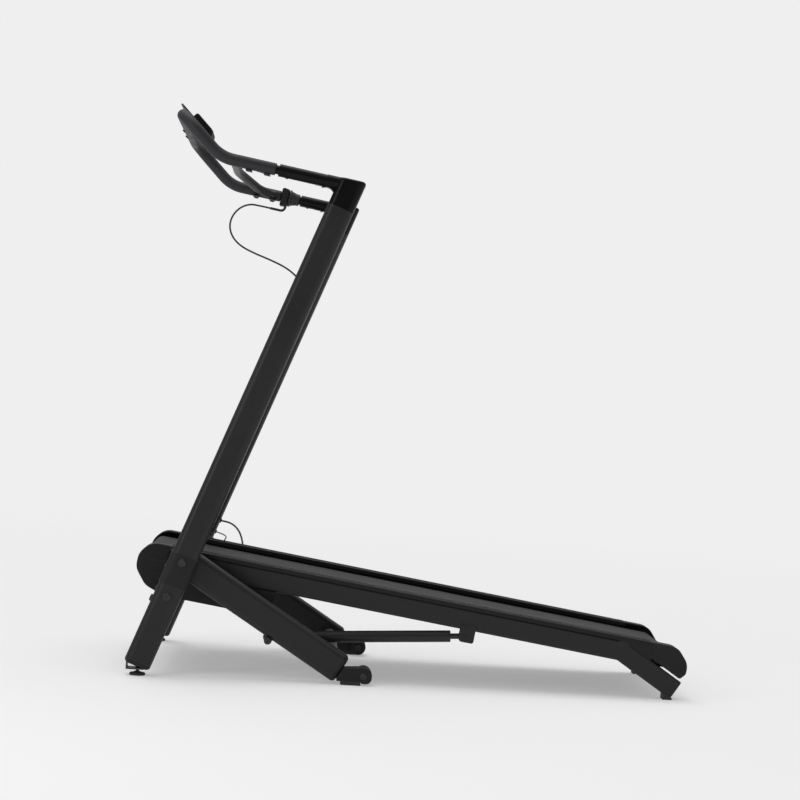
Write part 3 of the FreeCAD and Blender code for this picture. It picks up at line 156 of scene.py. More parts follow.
def shader_group(name, inputs, outputs):
    tree = bpy.data.node_groups.new(name, "ShaderNodeTree")
    for label, kind, value in inputs:
        socket = tree.interface.new_socket(label, in_out="INPUT", socket_type=SOCKETS[kind])
        if value is not None:
            socket.default_value = value
    for label, kind in outputs:
        tree.interface.new_socket(label, in_out="OUTPUT", socket_type=SOCKETS[kind])
    nodes = Nodes(tree)
    return tree, nodes, nodes.add("NodeGroupInput"), nodes.add("NodeGroupOutput")


def make_fine_grain():
    """Close, even roughness of a coating or of moulded plastic."""
    tree, n, start, end = shader_group(
        "fine_grain", [("Vector", "vector", None), ("Scale", "value", 900.0), ("Cloud Scale", "value", 7.0)],
        [("Height", "value"), ("Cloud", "value")])
    close = n.noise(start.outputs["Vector"], start.outputs["Scale"], 4.0, 0.6)
    n.join(close, end.inputs["Height"])
    broad = n.noise(start.outputs["Vector"], start.outputs["Cloud Scale"], 4.0, 0.55)
    n.join(n.span(broad, 0.3, 0.7), end.inputs["Cloud"])
    return tree


def make_edge_rub():
    """Mask that is 1 along worn edges: where a softened normal parts from the true one, broken up."""
    tree, n, start, end = shader_group(
        "edge_rub", [("Vector", "vector", None), ("Breakup", "value", 55.0), ("Amount", "value", 0.5)],
        [("Mask", "value")])
    soft = n.add("ShaderNodeBevel", samples=4)
    soft.inputs["Radius"].default_value = 0.0016
    plain = n.add("ShaderNodeNewGeometry")
    dot = n.add("ShaderNodeVectorMath", operation="DOT_PRODUCT")
    n.join(soft.outputs["Normal"], dot.inputs[0])
    n.join(plain.outputs["Normal"], dot.inputs[1])
    edge = n.span(dot.outputs["Value"], 0.995, 0.85)
    breakup = n.span(n.noise(start.outputs["Vector"], start.outputs["Breakup"], 5.0, 0.65), 0.35, 0.65)
    worn = n.maths("MULTIPLY", edge, breakup)
    n.join(n.maths("MULTIPLY", worn, start.outputs["Amount"]), end.inputs["Mask"])
    return tree


def make_settled_dust():
    """Mask of dust that lies on what faces up."""
    tree, n, start, end = shader_group(
        "settled_dust",
        [("Vector", "vector", None), ("Patch Scale", "value", 16.0), ("Amount", "value", 0.2)],
        [("Mask", "value")])
    normal = n.add("ShaderNodeTexCoord").outputs["Normal"]
    parts = n.add("ShaderNodeSeparateXYZ")
    n.join(normal, parts.inputs[0])
    up = n.span(parts.outputs["Z"], 0.35, 1.0)
    cloud = n.noise(start.outputs["Vector"], start.outputs["Patch Scale"], 6.0, 0.7)
    patch = n.span(cloud, 0.25, 0.75, 0.35, 1.0)
    n.join(n.maths("MULTIPLY", n.maths("MULTIPLY", up, patch), start.outputs["Amount"]), end.inputs["Mask"])
    return tree


def make_turning_marks():
    """Fine lines left by turning, drawing or brushing, drawn out along one axis by the vector it is given."""
    tree, n, start, end = shader_group(
        "turning_marks", [("Vector", "vector", None), ("Scale", "value", 60.0)],
        [("Line", "value")])
    line = n.noise(start.outputs["Vector"], start.outputs["Scale"], 5.0, 0.7)
    n.join(n.span(line, 0.3, 0.7), end.inputs["Line"])
    return tree


def make_diamond_weave():
    """Small raised diamonds in two crossing diagonals, with a mask of painted shade for the valleys between them.
    """
    tree, n, start, end = shader_group(
        "diamond_weave", [("Vector", "vector", None), ("Pitch", "value", 0.003)],
        [("Height", "value"), ("Painted Valley Shade", "value")])
    parts = n.add("ShaderNodeSeparateXYZ")
    n.join(start.outputs["Vector"], parts.inputs[0])
    turn = n.maths("DIVIDE", math.tau / 2, start.outputs["Pitch"])
    waves = []
    for operation in ("ADD", "SUBTRACT"):
        diagonal = n.maths(operation, parts.outputs["X"], parts.outputs["Y"])
        waves.append(n.maths("SINE", n.maths("MULTIPLY", diagonal, turn)))
    product = n.maths("MULTIPLY", waves[0], waves[1])
    n.join(n.span(product, -0.6, 0.6), end.inputs["Height"])
    # painted shade mask: 1 in the low valleys between the diamonds
    n.join(n.span(product, 0.1, -0.6), end.inputs["Painted Valley Shade"])
    return tree


GROUPS = {"grain": make_fine_grain(), "rub": make_edge_rub(), "dust": make_settled_dust(),
          "marks": make_turning_marks(), "weave": make_diamond_weave()}


# ---- finishes --------------------------------------------------------------------------------
class Finish:
    """One material: a Principled BSDF fed by the shared groups."""

    def __init__(self, name, colour, **constants):
        self.material = bpy.data.materials.new(name)
        self.material.use_nodes = True
        self.nodes = Nodes(self.material.node_tree)
        self.shader = self.material.node_tree.nodes["Principled BSDF"]
        self.place = self.nodes.add("ShaderNodeTexCoord").outputs["Object"]
        self.colour = None
        self.base = colour
        self.height = None
        for label, value in constants.items():
            self.shader.inputs[label.replace("_", " ")].default_value = value

    def group(self, key, vector=None, **values):
        node = self.nodes.add("ShaderNodeGroup", node_tree=GROUPS[key])
        self.nodes.join(vector or self.place, node.inputs["Vector"])
        for label, value in values.items():
            node.inputs[label.replace("_", " ")].default_value = value
        return node.outputs

    def mapped(self, scale=(1, 1, 1), turn=(0, 0, 0)):
        node = self.nodes.add("ShaderNodeMapping")
        self.nodes.join(self.place, node.inputs["Vector"])
        node.inputs["Scale"].default_value = scale
        node.inputs["Rotation"].default_value = turn
        return node.outputs[0]

    def tint(self, mask, colour):
        """Mix a colour in by a mask."""
        mix = self.nodes.add("ShaderNodeMix", data_type="RGBA")
        self.nodes.join(mask, mix.inputs["Factor"])
        if self.colour is None:
            mix.inputs["A"].default_value = (*self.base, 1)
        else:
            self.nodes.join(self.colour, mix.inputs["A"])
        mix.inputs["B"].default_value = (*colour, 1)
        self.colour = mix.outputs["Result"]

    def roughen(self, mask, low, high):
        self.nodes.join(self.nodes.span(mask, 0.0, 1.0, low, high), self.shader.inputs["Roughness"])

    def relief(self, height, depth):
        """Bump of that depth, in metres, over any relief already there."""
        bump = self.nodes.add("ShaderNodeBump")
        bump.inputs["Distance"].default_value = depth
        bump.inputs["Strength"].default_value = 1.0
        self.nodes.join(height, bump.inputs["Height"])
        if self.height is not None:
            self.nodes.join(self.height, bump.inputs["Normal"])
        self.height = bump.outputs["Normal"]

    def done(self):
        self.nodes.join(self.colour, self.shader.inputs["Base Color"])
        if self.height is not None:
            self.nodes.join(self.height, self.shader.inputs["Normal"])
        return self.material


DUST = (0.30, 0.29, 0.27)
RUBBED = (0.16, 0.165, 0.175)


def frame_paint():
    """Satin charcoal powder coat."""
    f = Finish("frame_paint", (0.0125, 0.0128, 0.0145), Specular_IOR_Level=0.34)
    grain = f.group("grain", Scale=1400.0, Cloud_Scale=5.0)
    f.tint(grain["Cloud"], (0.0155, 0.0158, 0.0175))
    f.tint(f.group("rub", Amount=0.22)["Mask"], RUBBED)
    f.tint(f.group("dust", Amount=0.06)["Mask"], DUST)
    f.roughen(grain["Cloud"], 0.38, 0.48)
    f.relief(grain["Height"], 0.00012)
    return f.done()


def arm_paint():
    """Semi-gloss black on the cast arms."""
    f = Finish("arm_paint", (0.0025, 0.0025, 0.0028), Specular_IOR_Level=0.15)
    grain = f.group("grain", Scale=700.0, Cloud_Scale=9.0)
    f.tint(grain["Cloud"], (0.0035, 0.0035, 0.004))
    f.tint(f.group("rub", Amount=0.10)["Mask"], RUBBED)
    f.roughen(grain["Cloud"], 0.22, 0.34)
    f.relief(grain["Height"], 0.00006)
    return f.done()


def black_plastic():
    """Moulded covers with a fine leathery texture."""
    f = Finish("black_plastic", (0.008, 0.008, 0.009), Specular_IOR_Level=0.28)
    grain = f.group("grain", Scale=1100.0, Cloud_Scale=11.0)
    f.tint(grain["Cloud"], (0.014, 0.014, 0.0155))
    f.tint(f.group("rub", Amount=0.25, Breakup=80.0)["Mask"], (0.11, 0.11, 0.115))
    f.tint(f.group("dust", Amount=0.08, Patch_Scale=24.0)["Mask"], DUST)
    f.roughen(grain["Cloud"], 0.46, 0.58)
    f.relief(grain["Height"], 0.00025)
    return f.done()


def belt():
    """Walking belt with fine diamonds, painted shade darkening the valleys between them, scuffed grey where feet
    land.
    """
    f = Finish("belt", (0.026, 0.026, 0.0247), Specular_IOR_Level=0.2)
    along = f.mapped(turn=(0, -INCLINE, 0))
    weave = f.group("weave", along, Pitch=0.0042)
    # painted shade: the valleys between the diamonds are darkened
    f.tint(weave["Painted Valley Shade"], (0.014, 0.014, 0.0135))
    tracks = f.group("grain", f.mapped(scale=(0.5, 3.0, 1)), Scale=900.0, Cloud_Scale=6.0)
    scuffed = f.nodes.maths("MULTIPLY", tracks["Cloud"], 0.22)
    f.tint(scuffed, (0.08, 0.079, 0.074))
    f.tint(f.group("dust", Amount=0.06, Patch_Scale=9.0)["Mask"], DUST)
    f.roughen(tracks["Cloud"], 0.5, 0.68)
    f.relief(weave["Height"], 0.0005)
    f.relief(tracks["Height"], 0.0001)
    return f.done()


def soft_grip():
    """Matt covering of the handlebar and twist grip, polished a little by hands."""
    f = Finish("soft_grip", (0.018, 0.0185, 0.021), Specular_IOR_Level=0.35)
    grain = f.group("grain", Scale=2200.0, Cloud_Scale=14.0)
    f.tint(grain["Cloud"], (0.024, 0.0245, 0.028))
    f.tint(f.group("rub", Amount=0.15)["Mask"], (0.08, 0.08, 0.09))
    f.roughen(grain["Cloud"], 0.46, 0.62)
    f.relief(grain["Height"], 0.0002)
    return f.done()


def rubber():
    f = Finish("rubber", (0.017, 0.017, 0.017))
    grain = f.group("grain", Scale=800.0, Cloud_Scale=20.0)
    f.tint(grain["Cloud"], (0.028, 0.027, 0.026))
    f.tint(f.group("dust", Amount=0.15, Patch_Scale=30.0)["Mask"], DUST)
    f.roughen(grain["Cloud"], 0.62, 0.8)
    f.relief(grain["Height"], 0.0003)
    return f.done()


def steel():
    """Turned and zinc-plated steel."""
    f = Finish("steel", (0.42, 0.42, 0.43), Metallic=1.0)
    lines = f.group("marks", f.mapped(scale=(1.0, 14.0, 1.0)), Scale=90.0)
    f.tint(lines["Line"], (0.50, 0.50, 0.51))
    f.tint(f.group("rub", Amount=0.5)["Mask"], (0.7, 0.7, 0.7))
    f.roughen(lines["Line"], 0.22, 0.4)
    f.relief(lines["Line"], 0.00005)
    return f.done()


def dark_steel():
    """Black oxide on the fasteners, bright at the edges of their sockets."""
    f = Finish("dark_steel", (0.009, 0.009, 0.0095), Metallic=0.3, Specular_IOR_Level=0.3)
    lines = f.group("marks", f.mapped(scale=(1.0, 6.0, 1.0)), Scale=160.0)
    f.tint(lines["Line"], (0.06, 0.06, 0.062))
    f.tint(f.group("rub", Amount=0.7, Breakup=140.0)["Mask"], (0.28, 0.28, 0.29))
    f.roughen(lines["Line"], 0.26, 0.42)
    f.relief(lines["Line"], 0.00005)
    return f.done()


def board():
    """Waxed black-faced fibreboard."""
    f = Finish("board", (0.03, 0.028, 0.026))
    fibre = f.group("marks", f.mapped(scale=(2.0, 30.0, 30.0)), Scale=18.0)
    f.tint(fibre["Line"], (0.045, 0.042, 0.038))
    f.roughen(fibre["Line"], 0.4, 0.55)
    f.relief(fibre["Line"], 0.0001)
    return f.done()


def trim():
    """Step rails, with shoe scuffs."""
    f = Finish("trim", (0.004, 0.004, 0.0045), Specular_IOR_Level=0.3)
    grain = f.group("grain", f.mapped(scale=(0.4, 2.0, 1.0)), Scale=1100.0, Cloud_Scale=14.0)
    f.tint(grain["Cloud"], (0.007, 0.007, 0.0078))
    f.tint(f.group("rub", Amount=0.25)["Mask"], (0.09, 0.09, 0.095))
    f.tint(f.group("dust", Amount=0.03)["Mask"], DUST)
    f.roughen(grain["Cloud"], 0.30, 0.42)
    f.relief(grain["Height"], 0.0002)
    return f.done()


def lens():
    """Dark window over the display."""
    f = Finish("lens", (0.010, 0.013, 0.015), Coat_Weight=0.6, Coat_Roughness=0.05)
    grain = f.group("grain", Scale=240.0, Cloud_Scale=30.0)
    f.tint(grain["Cloud"], (0.013, 0.016, 0.018))
    f.roughen(grain["Cloud"], 0.06, 0.14)
    return f.done()


def cable():
    f = Finish("cable", (0.010, 0.010, 0.010))
    grain = f.group("grain", Scale=1800.0, Cloud_Scale=40.0)
    f.tint(grain["Cloud"], (0.015, 0.015, 0.015))
    f.roughen(grain["Cloud"], 0.38, 0.52)
    f.relief(grain["Height"], 0.00008)
    return f.done()


def readout():
    """Pale segments of the display."""
    f = Finish("readout", (0.35, 0.38, 0.36))
    grain = f.group("grain", Scale=600.0, Cloud_Scale=60.0)
    f.tint(grain["Cloud"], (0.42, 0.45, 0.43))
    f.roughen(grain["Cloud"], 0.35, 0.5)
    return f.done()


MATERIALS = {make.__name__: make() for make in (
    frame_paint, arm_paint, black_plastic, belt, soft_grip, rubber, steel, dark_steel, board, trim, lens,
    cable, readout)}


def finish_cad_nodes():
    """Each CAD node takes the material that the record's slot names."""
    for part in frame["record"]["subparts"]:
        slots = NODES[part["node"]].data.materials
        slots.clear()
        slots.append(MATERIALS[part["material_slot"]])


# ---- making pieces ---------------------------------------------------------------------------
def shown(name, mesh, material, body=None):
    """Put a mesh in the scene as a piece, with its finish and the body it rides on."""
    mesh.materials.clear()
    mesh.materials.append(MATERIALS[material])
    obj = bpy.data.objects.new(name, mesh)
    bpy.context.scene.collection.objects.link(obj)
    if body:
        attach(obj, body)
    return obj


def mesh_of(name, work, smooth_angle=35.0):
    """Plain mesh from bmesh, facing outwards, smooth where its faces meet at a small angle."""
    bmesh.ops.recalc_face_normals(work, faces=work.faces)
    limit = math.radians(smooth_angle)
    for face in work.faces:
        face.smooth = True
    for edge in work.edges:
        edge.smooth = len(edge.link_faces) == 2 and edge.calc_face_angle(0.0) < limit
    mesh = bpy.data.meshes.new(name)
    work.to_mesh(mesh)
    work.free()
    return mesh


def frames_along(points):
    """A point, a direction and two square axes at each point, turned as little as possible on the way."""
    stations = []
    side = None
    for i, point in enumerate(points):
        ahead = (points[min(i + 1, len(points) - 1)] - points[max(i - 1, 0)]).normalized()
        if side is None:
            side = ahead.orthogonal().normalized()
        side = (side - ahead * side.dot(ahead)).normalized()
        stations.append((point, ahead, side, ahead.cross(side)))
    return stations


def skin_rings(work, rings, closed_loop):
    """Faces between rings of vertices; the last ring joins the first where the loop is closed."""
    pairs = list(zip(rings, rings[1:]))
    if closed_loop:
        pairs.append((rings[-1], rings[0]))
    for a, b in pairs:
        count = len(a)
        for k in range(count):
            work.faces.new((a[k], a[(k + 1) % count], b[(k + 1) % count], b[k]))


def ring_at(work, station, radius, sides, shift=0.0):
    point, ahead, side, other = station
    centre = point + ahead * shift
    turns = [math.tau * k / sides for k in range(sides)]
    return [work.verts.new(centre + (side * math.cos(t) + other * math.sin(t)) * radius) for t in turns]


TUBE_SIDES = 14
TUBE_END = 0.6            # radius of a tube's closed ends, as a share of its own


def tube_along(name, points, radius):
    """Round tube, closed and drawn in at its ends."""
    work = bmesh.new()
    stations = frames_along(points)
    first, last = stations[0], stations[-1]
    rings = [ring_at(work, first, radius * TUBE_END, TUBE_SIDES)]
    rings += [ring_at(work, s, radius, TUBE_SIDES) for s in stations[1:-1]]
    rings.append(ring_at(work, last, radius * TUBE_END, TUBE_SIDES))
    skin_rings(work, rings, False)
    work.faces.new(list(reversed(rings[0])))
    work.faces.new(rings[-1])
    return mesh_of(name, work, 80)


# ---- cables ----------------------------------------------------------------------------------
CABLE_D = 0.005
SENSOR_D = 0.0032
UPPER_LOOP = [(140, 341, 1210), (112, 341, 1214.5), (82, 342, 1218), (54, 343, 1205), (35, 344, 1180),
              (30, 345, 1150), (42, 345, 1121), (67, 345, 1099), (104, 345, 1083), (148, 345, 1068),
              (188, 345, 1052), (216, 345, 1034), (238.2, 345, 1013.5)]
LOWER_LOOP = [(58.1, 345, 340), (77, 344, 338.5), (96, 337, 331), (112, 323, 316), (121, 304, 297),
              (126, 285, 278), (127.5, 268, 260), (127, 250.5, 247)]
SENSOR_LOOP = [(46.6, 345, 309), (62, 341, 305), (73, 327, 302), (78, 309, 299), (77, 291, 295),
               (71, 275, 286), (64, 263, 272), (59.5, 250.5, 256)]


def cable_curve(name, route, radius):
    """NURBS with the route as its control points, starting and ending on its end points."""
    data = bpy.data.curves.new(name, "CURVE")
    data.dimensions = "3D"
    data.resolution_u = 16
    spline = data.splines.new("NURBS")
    spline.points.add(len(route) - 1)
    for point, place in zip(spline.points, route):
        point.co = (*row(*place), 1.0)
    spline.order_u = 3
    spline.use_endpoint_u = True
    data.bevel_depth = radius
    data.bevel_resolution = 4
    data.use_fill_caps = radius > 0
    obj = bpy.data.objects.new(name, data)
    bpy.context.scene.collection.objects.link(obj)
    return obj


def points_on(route):
    """Points read from the route's own spline."""
    guide = cable_curve("cable_guide", route, 0.0)
    depsgraph = bpy.context.evaluated_depsgraph_get()
    line = bpy.data.meshes.new_from_object(guide.evaluated_get(depsgraph))
    points = [v.co.copy() for v in line.vertices]
    bpy.data.meshes.remove(line)
    bpy.data.objects.remove(guide)
    return points


def make_upper_cable():
    """Brake cable from the twist grip to the upright, springing out in front of it."""
    obj = cable_curve("brake_cable_loop", UPPER_LOOP, CABLE_D / 2)
    obj.data.materials.append(MATERIALS["cable"])
    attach(obj, "root")
    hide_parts("brake_cable_upper")


def make_folding_cable(name, route, diameter, node):
    """Cable that crosses the deck's hinge, made as one fixed tube along its route."""
    path = points_on(route)
    obj = shown(name, tube_along(name, path, diameter / 2), "cable")
    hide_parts(node)
    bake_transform(obj)


# ---- soft covering of the handlebar ----------------------------------------------------------
BAR_Y = 340.0
BAR_R = 11.15
COVER_R = 15.0
RISE_LENGTH = 143.0
VERTEX_RADIUS = 95.0
BEND_RADIUS = 62.0
LEFT_END, RIGHT_END = -8, -6     # where the covering stops, along the arms
COVER_ROLL = 2.2          # radius of the covering's rolled ends
ROLL_STEPS = 4
COVER_SIDES = 40
COVER_STEP = 0.006        # between the covering's rings, in metres


def rounded_path(corners, radii, step):
    """Straight runs with tangent arcs between them, as points no further than a step apart."""
    points = [corners[0]]
    for i, radius in enumerate(radii, start=1):
        before = (corners[i - 1] - corners[i]).normalized()
        after = (corners[i + 1] - corners[i]).normalized()
        half = before.angle(after) / 2
        back = radius / math.tan(half)
        centre = corners[i] + (before + after).normalized() * radius / math.sin(half)
        start = corners[i] + before * back
        out = start - centre
        axis = out.cross(corners[i] + after * back - centre).normalized()
        turn = math.pi - 2 * half
        count = max(6, int(turn * radius / step))
        straight = (start - points[-1]).length
        runs = max(1, int(straight / step))
        origin = points[-1]
        points += [origin.lerp(start, k / runs) for k in range(1, runs + 1)]
        points += [centre + Matrix.Rotation(turn * k / count, 3, axis) @ out for k in range(1, count + 1)]
    runs = max(1, int((corners[-1] - points[-1]).length / step))
    origin = points[-1]
    return points + [origin.lerp(corners[-1], k / runs) for k in range(1, runs + 1)]


def make_handlebar_cover():
    """One moulded covering over the whole handlebar, its ends rolled in to the bare tube."""
    corners = [on(ARM, LEFT_END, -BAR_Y, 0), on(CONSOLE, 0, -BAR_Y, 0), on(CONSOLE, -RISE_LENGTH, -BAR_Y, 0),
               on(CONSOLE, -RISE_LENGTH, BAR_Y, 0), on(CONSOLE, 0, BAR_Y, 0), on(ARM, RIGHT_END, BAR_Y, 0)]
    radii = [r * MM for r in (VERTEX_RADIUS, BEND_RADIUS, BEND_RADIUS, VERTEX_RADIUS)]
    points = rounded_path(corners, radii, COVER_STEP)
    stations = frames_along(points)
    work = bmesh.new()
    straight = COVER_R - COVER_ROLL
    angles = [math.pi / 2 * k / ROLL_STEPS for k in range(ROLL_STEPS + 1)]
    rings = []
    for a in angles:
        r = (straight + COVER_ROLL * math.sin(a)) * MM
        shift = COVER_ROLL * (1 - math.cos(a)) * MM
        rings.append(ring_at(work, stations[0], r, COVER_SIDES, shift))
    rings += [ring_at(work, s, COVER_R * MM, COVER_SIDES) for s in stations[1:-1]]
    for a in angles:
        r = (straight + COVER_ROLL * math.cos(a)) * MM
        shift = COVER_ROLL * (math.sin(a) - 1) * MM
        rings.append(ring_at(work, stations[-1], r, COVER_SIDES, shift))
    rings += [ring_at(work, s, BAR_R * MM, COVER_SIDES) for s in reversed(stations)]
    skin_rings(work, rings, True)
    cover = shown("handlebar_covering", mesh_of("handlebar_covering", work, 60), "soft_grip", "root")
    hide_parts("handlebar_cover")


# ---- geometry node trees ---------------------------------------------------------------------
class Tree(Nodes):
    """A geometry node tree with named inputs for its sizes."""

    def __init__(self, name, inputs):
        super().__init__(bpy.data.node_groups.new(name, "GeometryNodeTree"))
        face = self.tree.interface
        kinds = {**SOCKETS, "whole": "NodeSocketInt", "geometry": "NodeSocketGeometry",
                 "material": "NodeSocketMaterial"}
        self.names = {}
        for label, kind in [("Geometry", "geometry")] + inputs + [("Finish", "material")]:
            socket = face.new_socket(label, in_out="INPUT", socket_type=kinds[kind])
            self.names[label] = socket.identifier
        face.new_socket("Geometry", in_out="OUTPUT", socket_type=kinds["geometry"])
        self.start = self.add("NodeGroupInput")
        self.end = self.add("NodeGroupOutput")

    def given(self, label):
        return self.start.outputs[label]

    def close(self, geometry):
        """End the tree: real faces, with their material."""
        real = self.add("GeometryNodeRealizeInstances")
        self.join(geometry, real.inputs["Geometry"])
        coat = self.add("GeometryNodeSetMaterial")
        self.join(real.outputs["Geometry"], coat.inputs["Geometry"])
        self.join(self.given("Finish"), coat.inputs["Material"])
        self.join(coat.outputs["Geometry"], self.end.inputs["Geometry"])
        return self

    def run(self, name, values, material, body, points=()):
        """A plain mesh of the tree's result, riding on a body."""
        seed = bpy.data.meshes.new(name + "_points")
        seed.from_pydata([tuple(p) for p in points], [], [])
        holder = bpy.data.objects.new(name + "_maker", seed)
        bpy.context.scene.collection.objects.link(holder)
        modifier = holder.modifiers.new(name, "NODES")
        modifier.node_group = self.tree
        for label, value in values.items():
            modifier[self.names[label]] = value
        modifier[self.names["Finish"]] = MATERIALS[material]
        depsgraph = bpy.context.evaluated_depsgraph_get()
        mesh = bpy.data.meshes.new_from_object(holder.evaluated_get(depsgraph))
        mesh.name = name
        holder.modifiers.remove(modifier)
        bpy.data.objects.remove(holder)
        return shown(name, mesh, material, body)


def make_rib_row_tree():
    """Straight ribs side by side: a bar repeated by a step."""
    t = Tree("rib_row", [("Count", "whole"), ("Start", "vector"), ("Step", "vector"), ("Bar", "vector"),
                         ("Turn", "vector")])
    line = t.add("GeometryNodeMeshLine", mode="OFFSET")
    t.join(t.given("Count"), line.inputs["Count"])
    t.join(t.given("Start"), line.inputs["Start Location"])
    t.join(t.given("Step"), line.inputs["Offset"])
    bar = t.add("GeometryNodeMeshCube")
    t.join(t.given("Bar"), bar.inputs["Size"])
    copies = t.add("GeometryNodeInstanceOnPoints")
    t.join(line.outputs["Mesh"], copies.inputs["Points"])
    t.join(bar.outputs["Mesh"], copies.inputs["Instance"])
    t.join(t.given("Turn"), copies.inputs["Rotation"])
    return t.close(copies.outputs["Instances"])


def make_tread_tree():
    """Ribs round a wheel whose axle lies along Y."""
    t = Tree("wheel_tread",
             [("Count", "whole"), ("Centre", "vector"), ("Radius", "value"), ("Bar", "vector")])
    line = t.add("GeometryNodeMeshLine", mode="OFFSET")
    t.join(t.given("Count"), line.inputs["Count"])
    line.inputs["Offset"].default_value = (0, 0, 0)
    index = t.add("GeometryNodeInputIndex").outputs[0]
    angle = t.maths("MULTIPLY", index, t.maths("DIVIDE", math.tau, t.given("Count")))
    spot = t.add("ShaderNodeCombineXYZ")
    t.join(t.maths("MULTIPLY", t.maths("SINE", angle), t.given("Radius")), spot.inputs["X"])
    t.join(t.maths("MULTIPLY", t.maths("COSINE", angle), t.given("Radius")), spot.inputs["Z"])
    placed = t.add("ShaderNodeVectorMath", operation="ADD")
    t.join(spot.outputs[0], placed.inputs[0])
    t.join(t.given("Centre"), placed.inputs[1])
    moved = t.add("GeometryNodeSetPosition")
    t.join(line.outputs["Mesh"], moved.inputs["Geometry"])
    t.join(placed.outputs[0], moved.inputs["Position"])
    turn = t.add("ShaderNodeCombineXYZ")
    t.join(angle, turn.inputs["Y"])
    bar = t.add("GeometryNodeMeshCube")
    t.join(t.given("Bar"), bar.inputs["Size"])
    copies = t.add("GeometryNodeInstanceOnPoints")
    t.join(moved.outputs["Geometry"], copies.inputs["Points"])
    t.join(bar.outputs["Mesh"], copies.inputs["Instance"])
    t.join(turn.outputs[0], copies.inputs["Rotation"])
    return t.close(copies.outputs["Instances"])


def make_screw_tree():
    """Low domed socket screws on the given points, standing out along Z before they are turned."""
    t = Tree("socket_screws", [("Radius", "value"), ("Height", "value"), ("Turn", "vector")])
    stem = t.add("GeometryNodeMeshCylinder")
    stem.inputs["Vertices"].default_value = 18
    t.join(t.given("Radius"), stem.inputs["Radius"])
    t.join(t.given("Height"), stem.inputs["Depth"])
    mesh, top = stem.outputs["Mesh"], stem.outputs["Top"]
    steps = ((0.32, 0.88), (0.16, 0.80), (0.0, 0.62), (-0.45, 0.97))
    for rise, shrink in steps:
        pull = t.add("GeometryNodeExtrudeMesh", mode="FACES")
        t.join(mesh, pull.inputs["Mesh"])
        t.join(top, pull.inputs["Selection"])
        t.join(t.maths("MULTIPLY", t.given("Height"), rise), pull.inputs["Offset Scale"])
        squeeze = t.add("GeometryNodeScaleElements", domain="FACE")
        t.join(pull.outputs["Mesh"], squeeze.inputs["Geometry"])
        t.join(pull.outputs["Top"], squeeze.inputs["Selection"])
        squeeze.inputs["Scale"].default_value = shrink
        mesh, top = squeeze.outputs["Geometry"], pull.outputs["Top"]
    copies = t.add("GeometryNodeInstanceOnPoints")
    t.join(t.given("Geometry"), copies.inputs["Points"])
    t.join(mesh, copies.inputs["Instance"])
    t.join(t.given("Turn"), copies.inputs["Rotation"])
    return t.close(copies.outputs["Instances"])


RIBS = make_rib_row_tree()
TREAD = make_tread_tree()
SCREWS = make_screw_tree()


# ---- details on the parts --------------------------------------------------------------------
SIDES = {"left": -1, "right": 1}
CAP_OUT = 248.5           # outer face of the deck's caps and step rails
RAIL_OUT = 247.25         # outer face of the side rails
STEP_RAIL_Y = 226         # middle of a step rail
STEP_RAIL_TOP = 25.0
FOOT_DISC_MIDDLE = 0.0027     # above the floor, in metres
SUNK = 0.0001             # how far a rib starts inside a wheel or a foot, in metres
DECK_TURN = (0, INCLINE, 0)


def make_step_ribs():
    """Anti-slip ribs along the top of each step rail."""
    first, last = -38.0, 1182.0
    count = 9
    gap = 4.2
    width, height = 0.0018, 0.0012
    for side, way in SIDES.items():
        start = on(DECK, (first + last) / 2, way * STEP_RAIL_Y - gap * (count - 1) / 2, STEP_RAIL_TOP)
        RIBS.run("step_ribs_" + side,
                 {"Count": count, "Start": start, "Step": (0, gap * MM, 0),
                  "Bar": ((last - first) * MM, width, height), "Turn": DECK_TURN}, "trim", "deck")


def make_display_ribs():
    """Upright ribs on both sides of the display's case."""
    first, pitch = -146, 4
    case_side, middle = 60.0, 33.0
    thick, tall = 0.0016, 0.012
    for side, way in SIDES.items():
        start = on(CONSOLE, first, way * case_side, middle)
        step = on(CONSOLE, first + pitch, way * case_side, middle) - start
        RIBS.run("display_ribs_" + side,
                 {"Count": 11, "Start": start, "Step": step, "Bar": (thick, thick, tall),
                  "Turn": (0, RISE, 0)}, "black_plastic", "root")


def make_wheel_treads():
    """Short ribs across the tread of each transport wheel."""
    margins = 0.007
    thick, tall = 0.0014, 0.0008
    for side in SIDES:
        low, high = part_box("transport_wheel_" + side)
        centre = (low + high) / 2
        radius = (high.z - low.z) / 2
        TREAD.run("wheel_tread_" + side,
                  {"Count": 32, "Centre": centre, "Radius": radius - SUNK,
                   "Bar": (thick, (high.y - low.y) - margins, tall)}, "black_plastic",
                  "transport_wheel_" + side)


def make_foot_notches():
    """Grip notches round the discs of the levelling feet, as short ribs."""
    count = 24
    for side in SIDES:
        low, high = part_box("levelling_foot_" + side)
        work = bmesh.new()
        centre = Vector(((low.x + high.x) / 2, (low.y + high.y) / 2, FOOT_DISC_MIDDLE))
        radius = (high.x - low.x) / 2
        for k in range(count):
            a = math.tau * k / count
            place = Matrix.Translation(centre) @ Matrix.Rotation(a, 4, "Z")
            place = place @ Matrix.Translation((radius - SUNK, 0, 0))
            size = Matrix.Diagonal((0.0008, 0.0018, 0.0030, 1))
            bmesh.ops.create_cube(work, size=1.0, matrix=place @ size)
        mesh = mesh_of("foot_notches_" + side, work)
        shown("foot_notches_" + side, mesh, "rubber", "levelling_foot_" + side)


def make_cap_screws():
    """Three screws down the outer side of each front cap."""
    places = ((-34.5, 15.9), (-42.5, -24.5), (-54.2, -80.6))
    for side, way in SIDES.items():
        turn = (-way * math.pi / 2, 0, 0)
        points = [on(DECK, x, way * (CAP_OUT + 0.6), z) for x, z in places]
        SCREWS.run("cap_screws_" + side, {"Radius": 0.0042, "Height": 0.0016, "Turn": turn}, "dark_steel",
                   "deck", points)


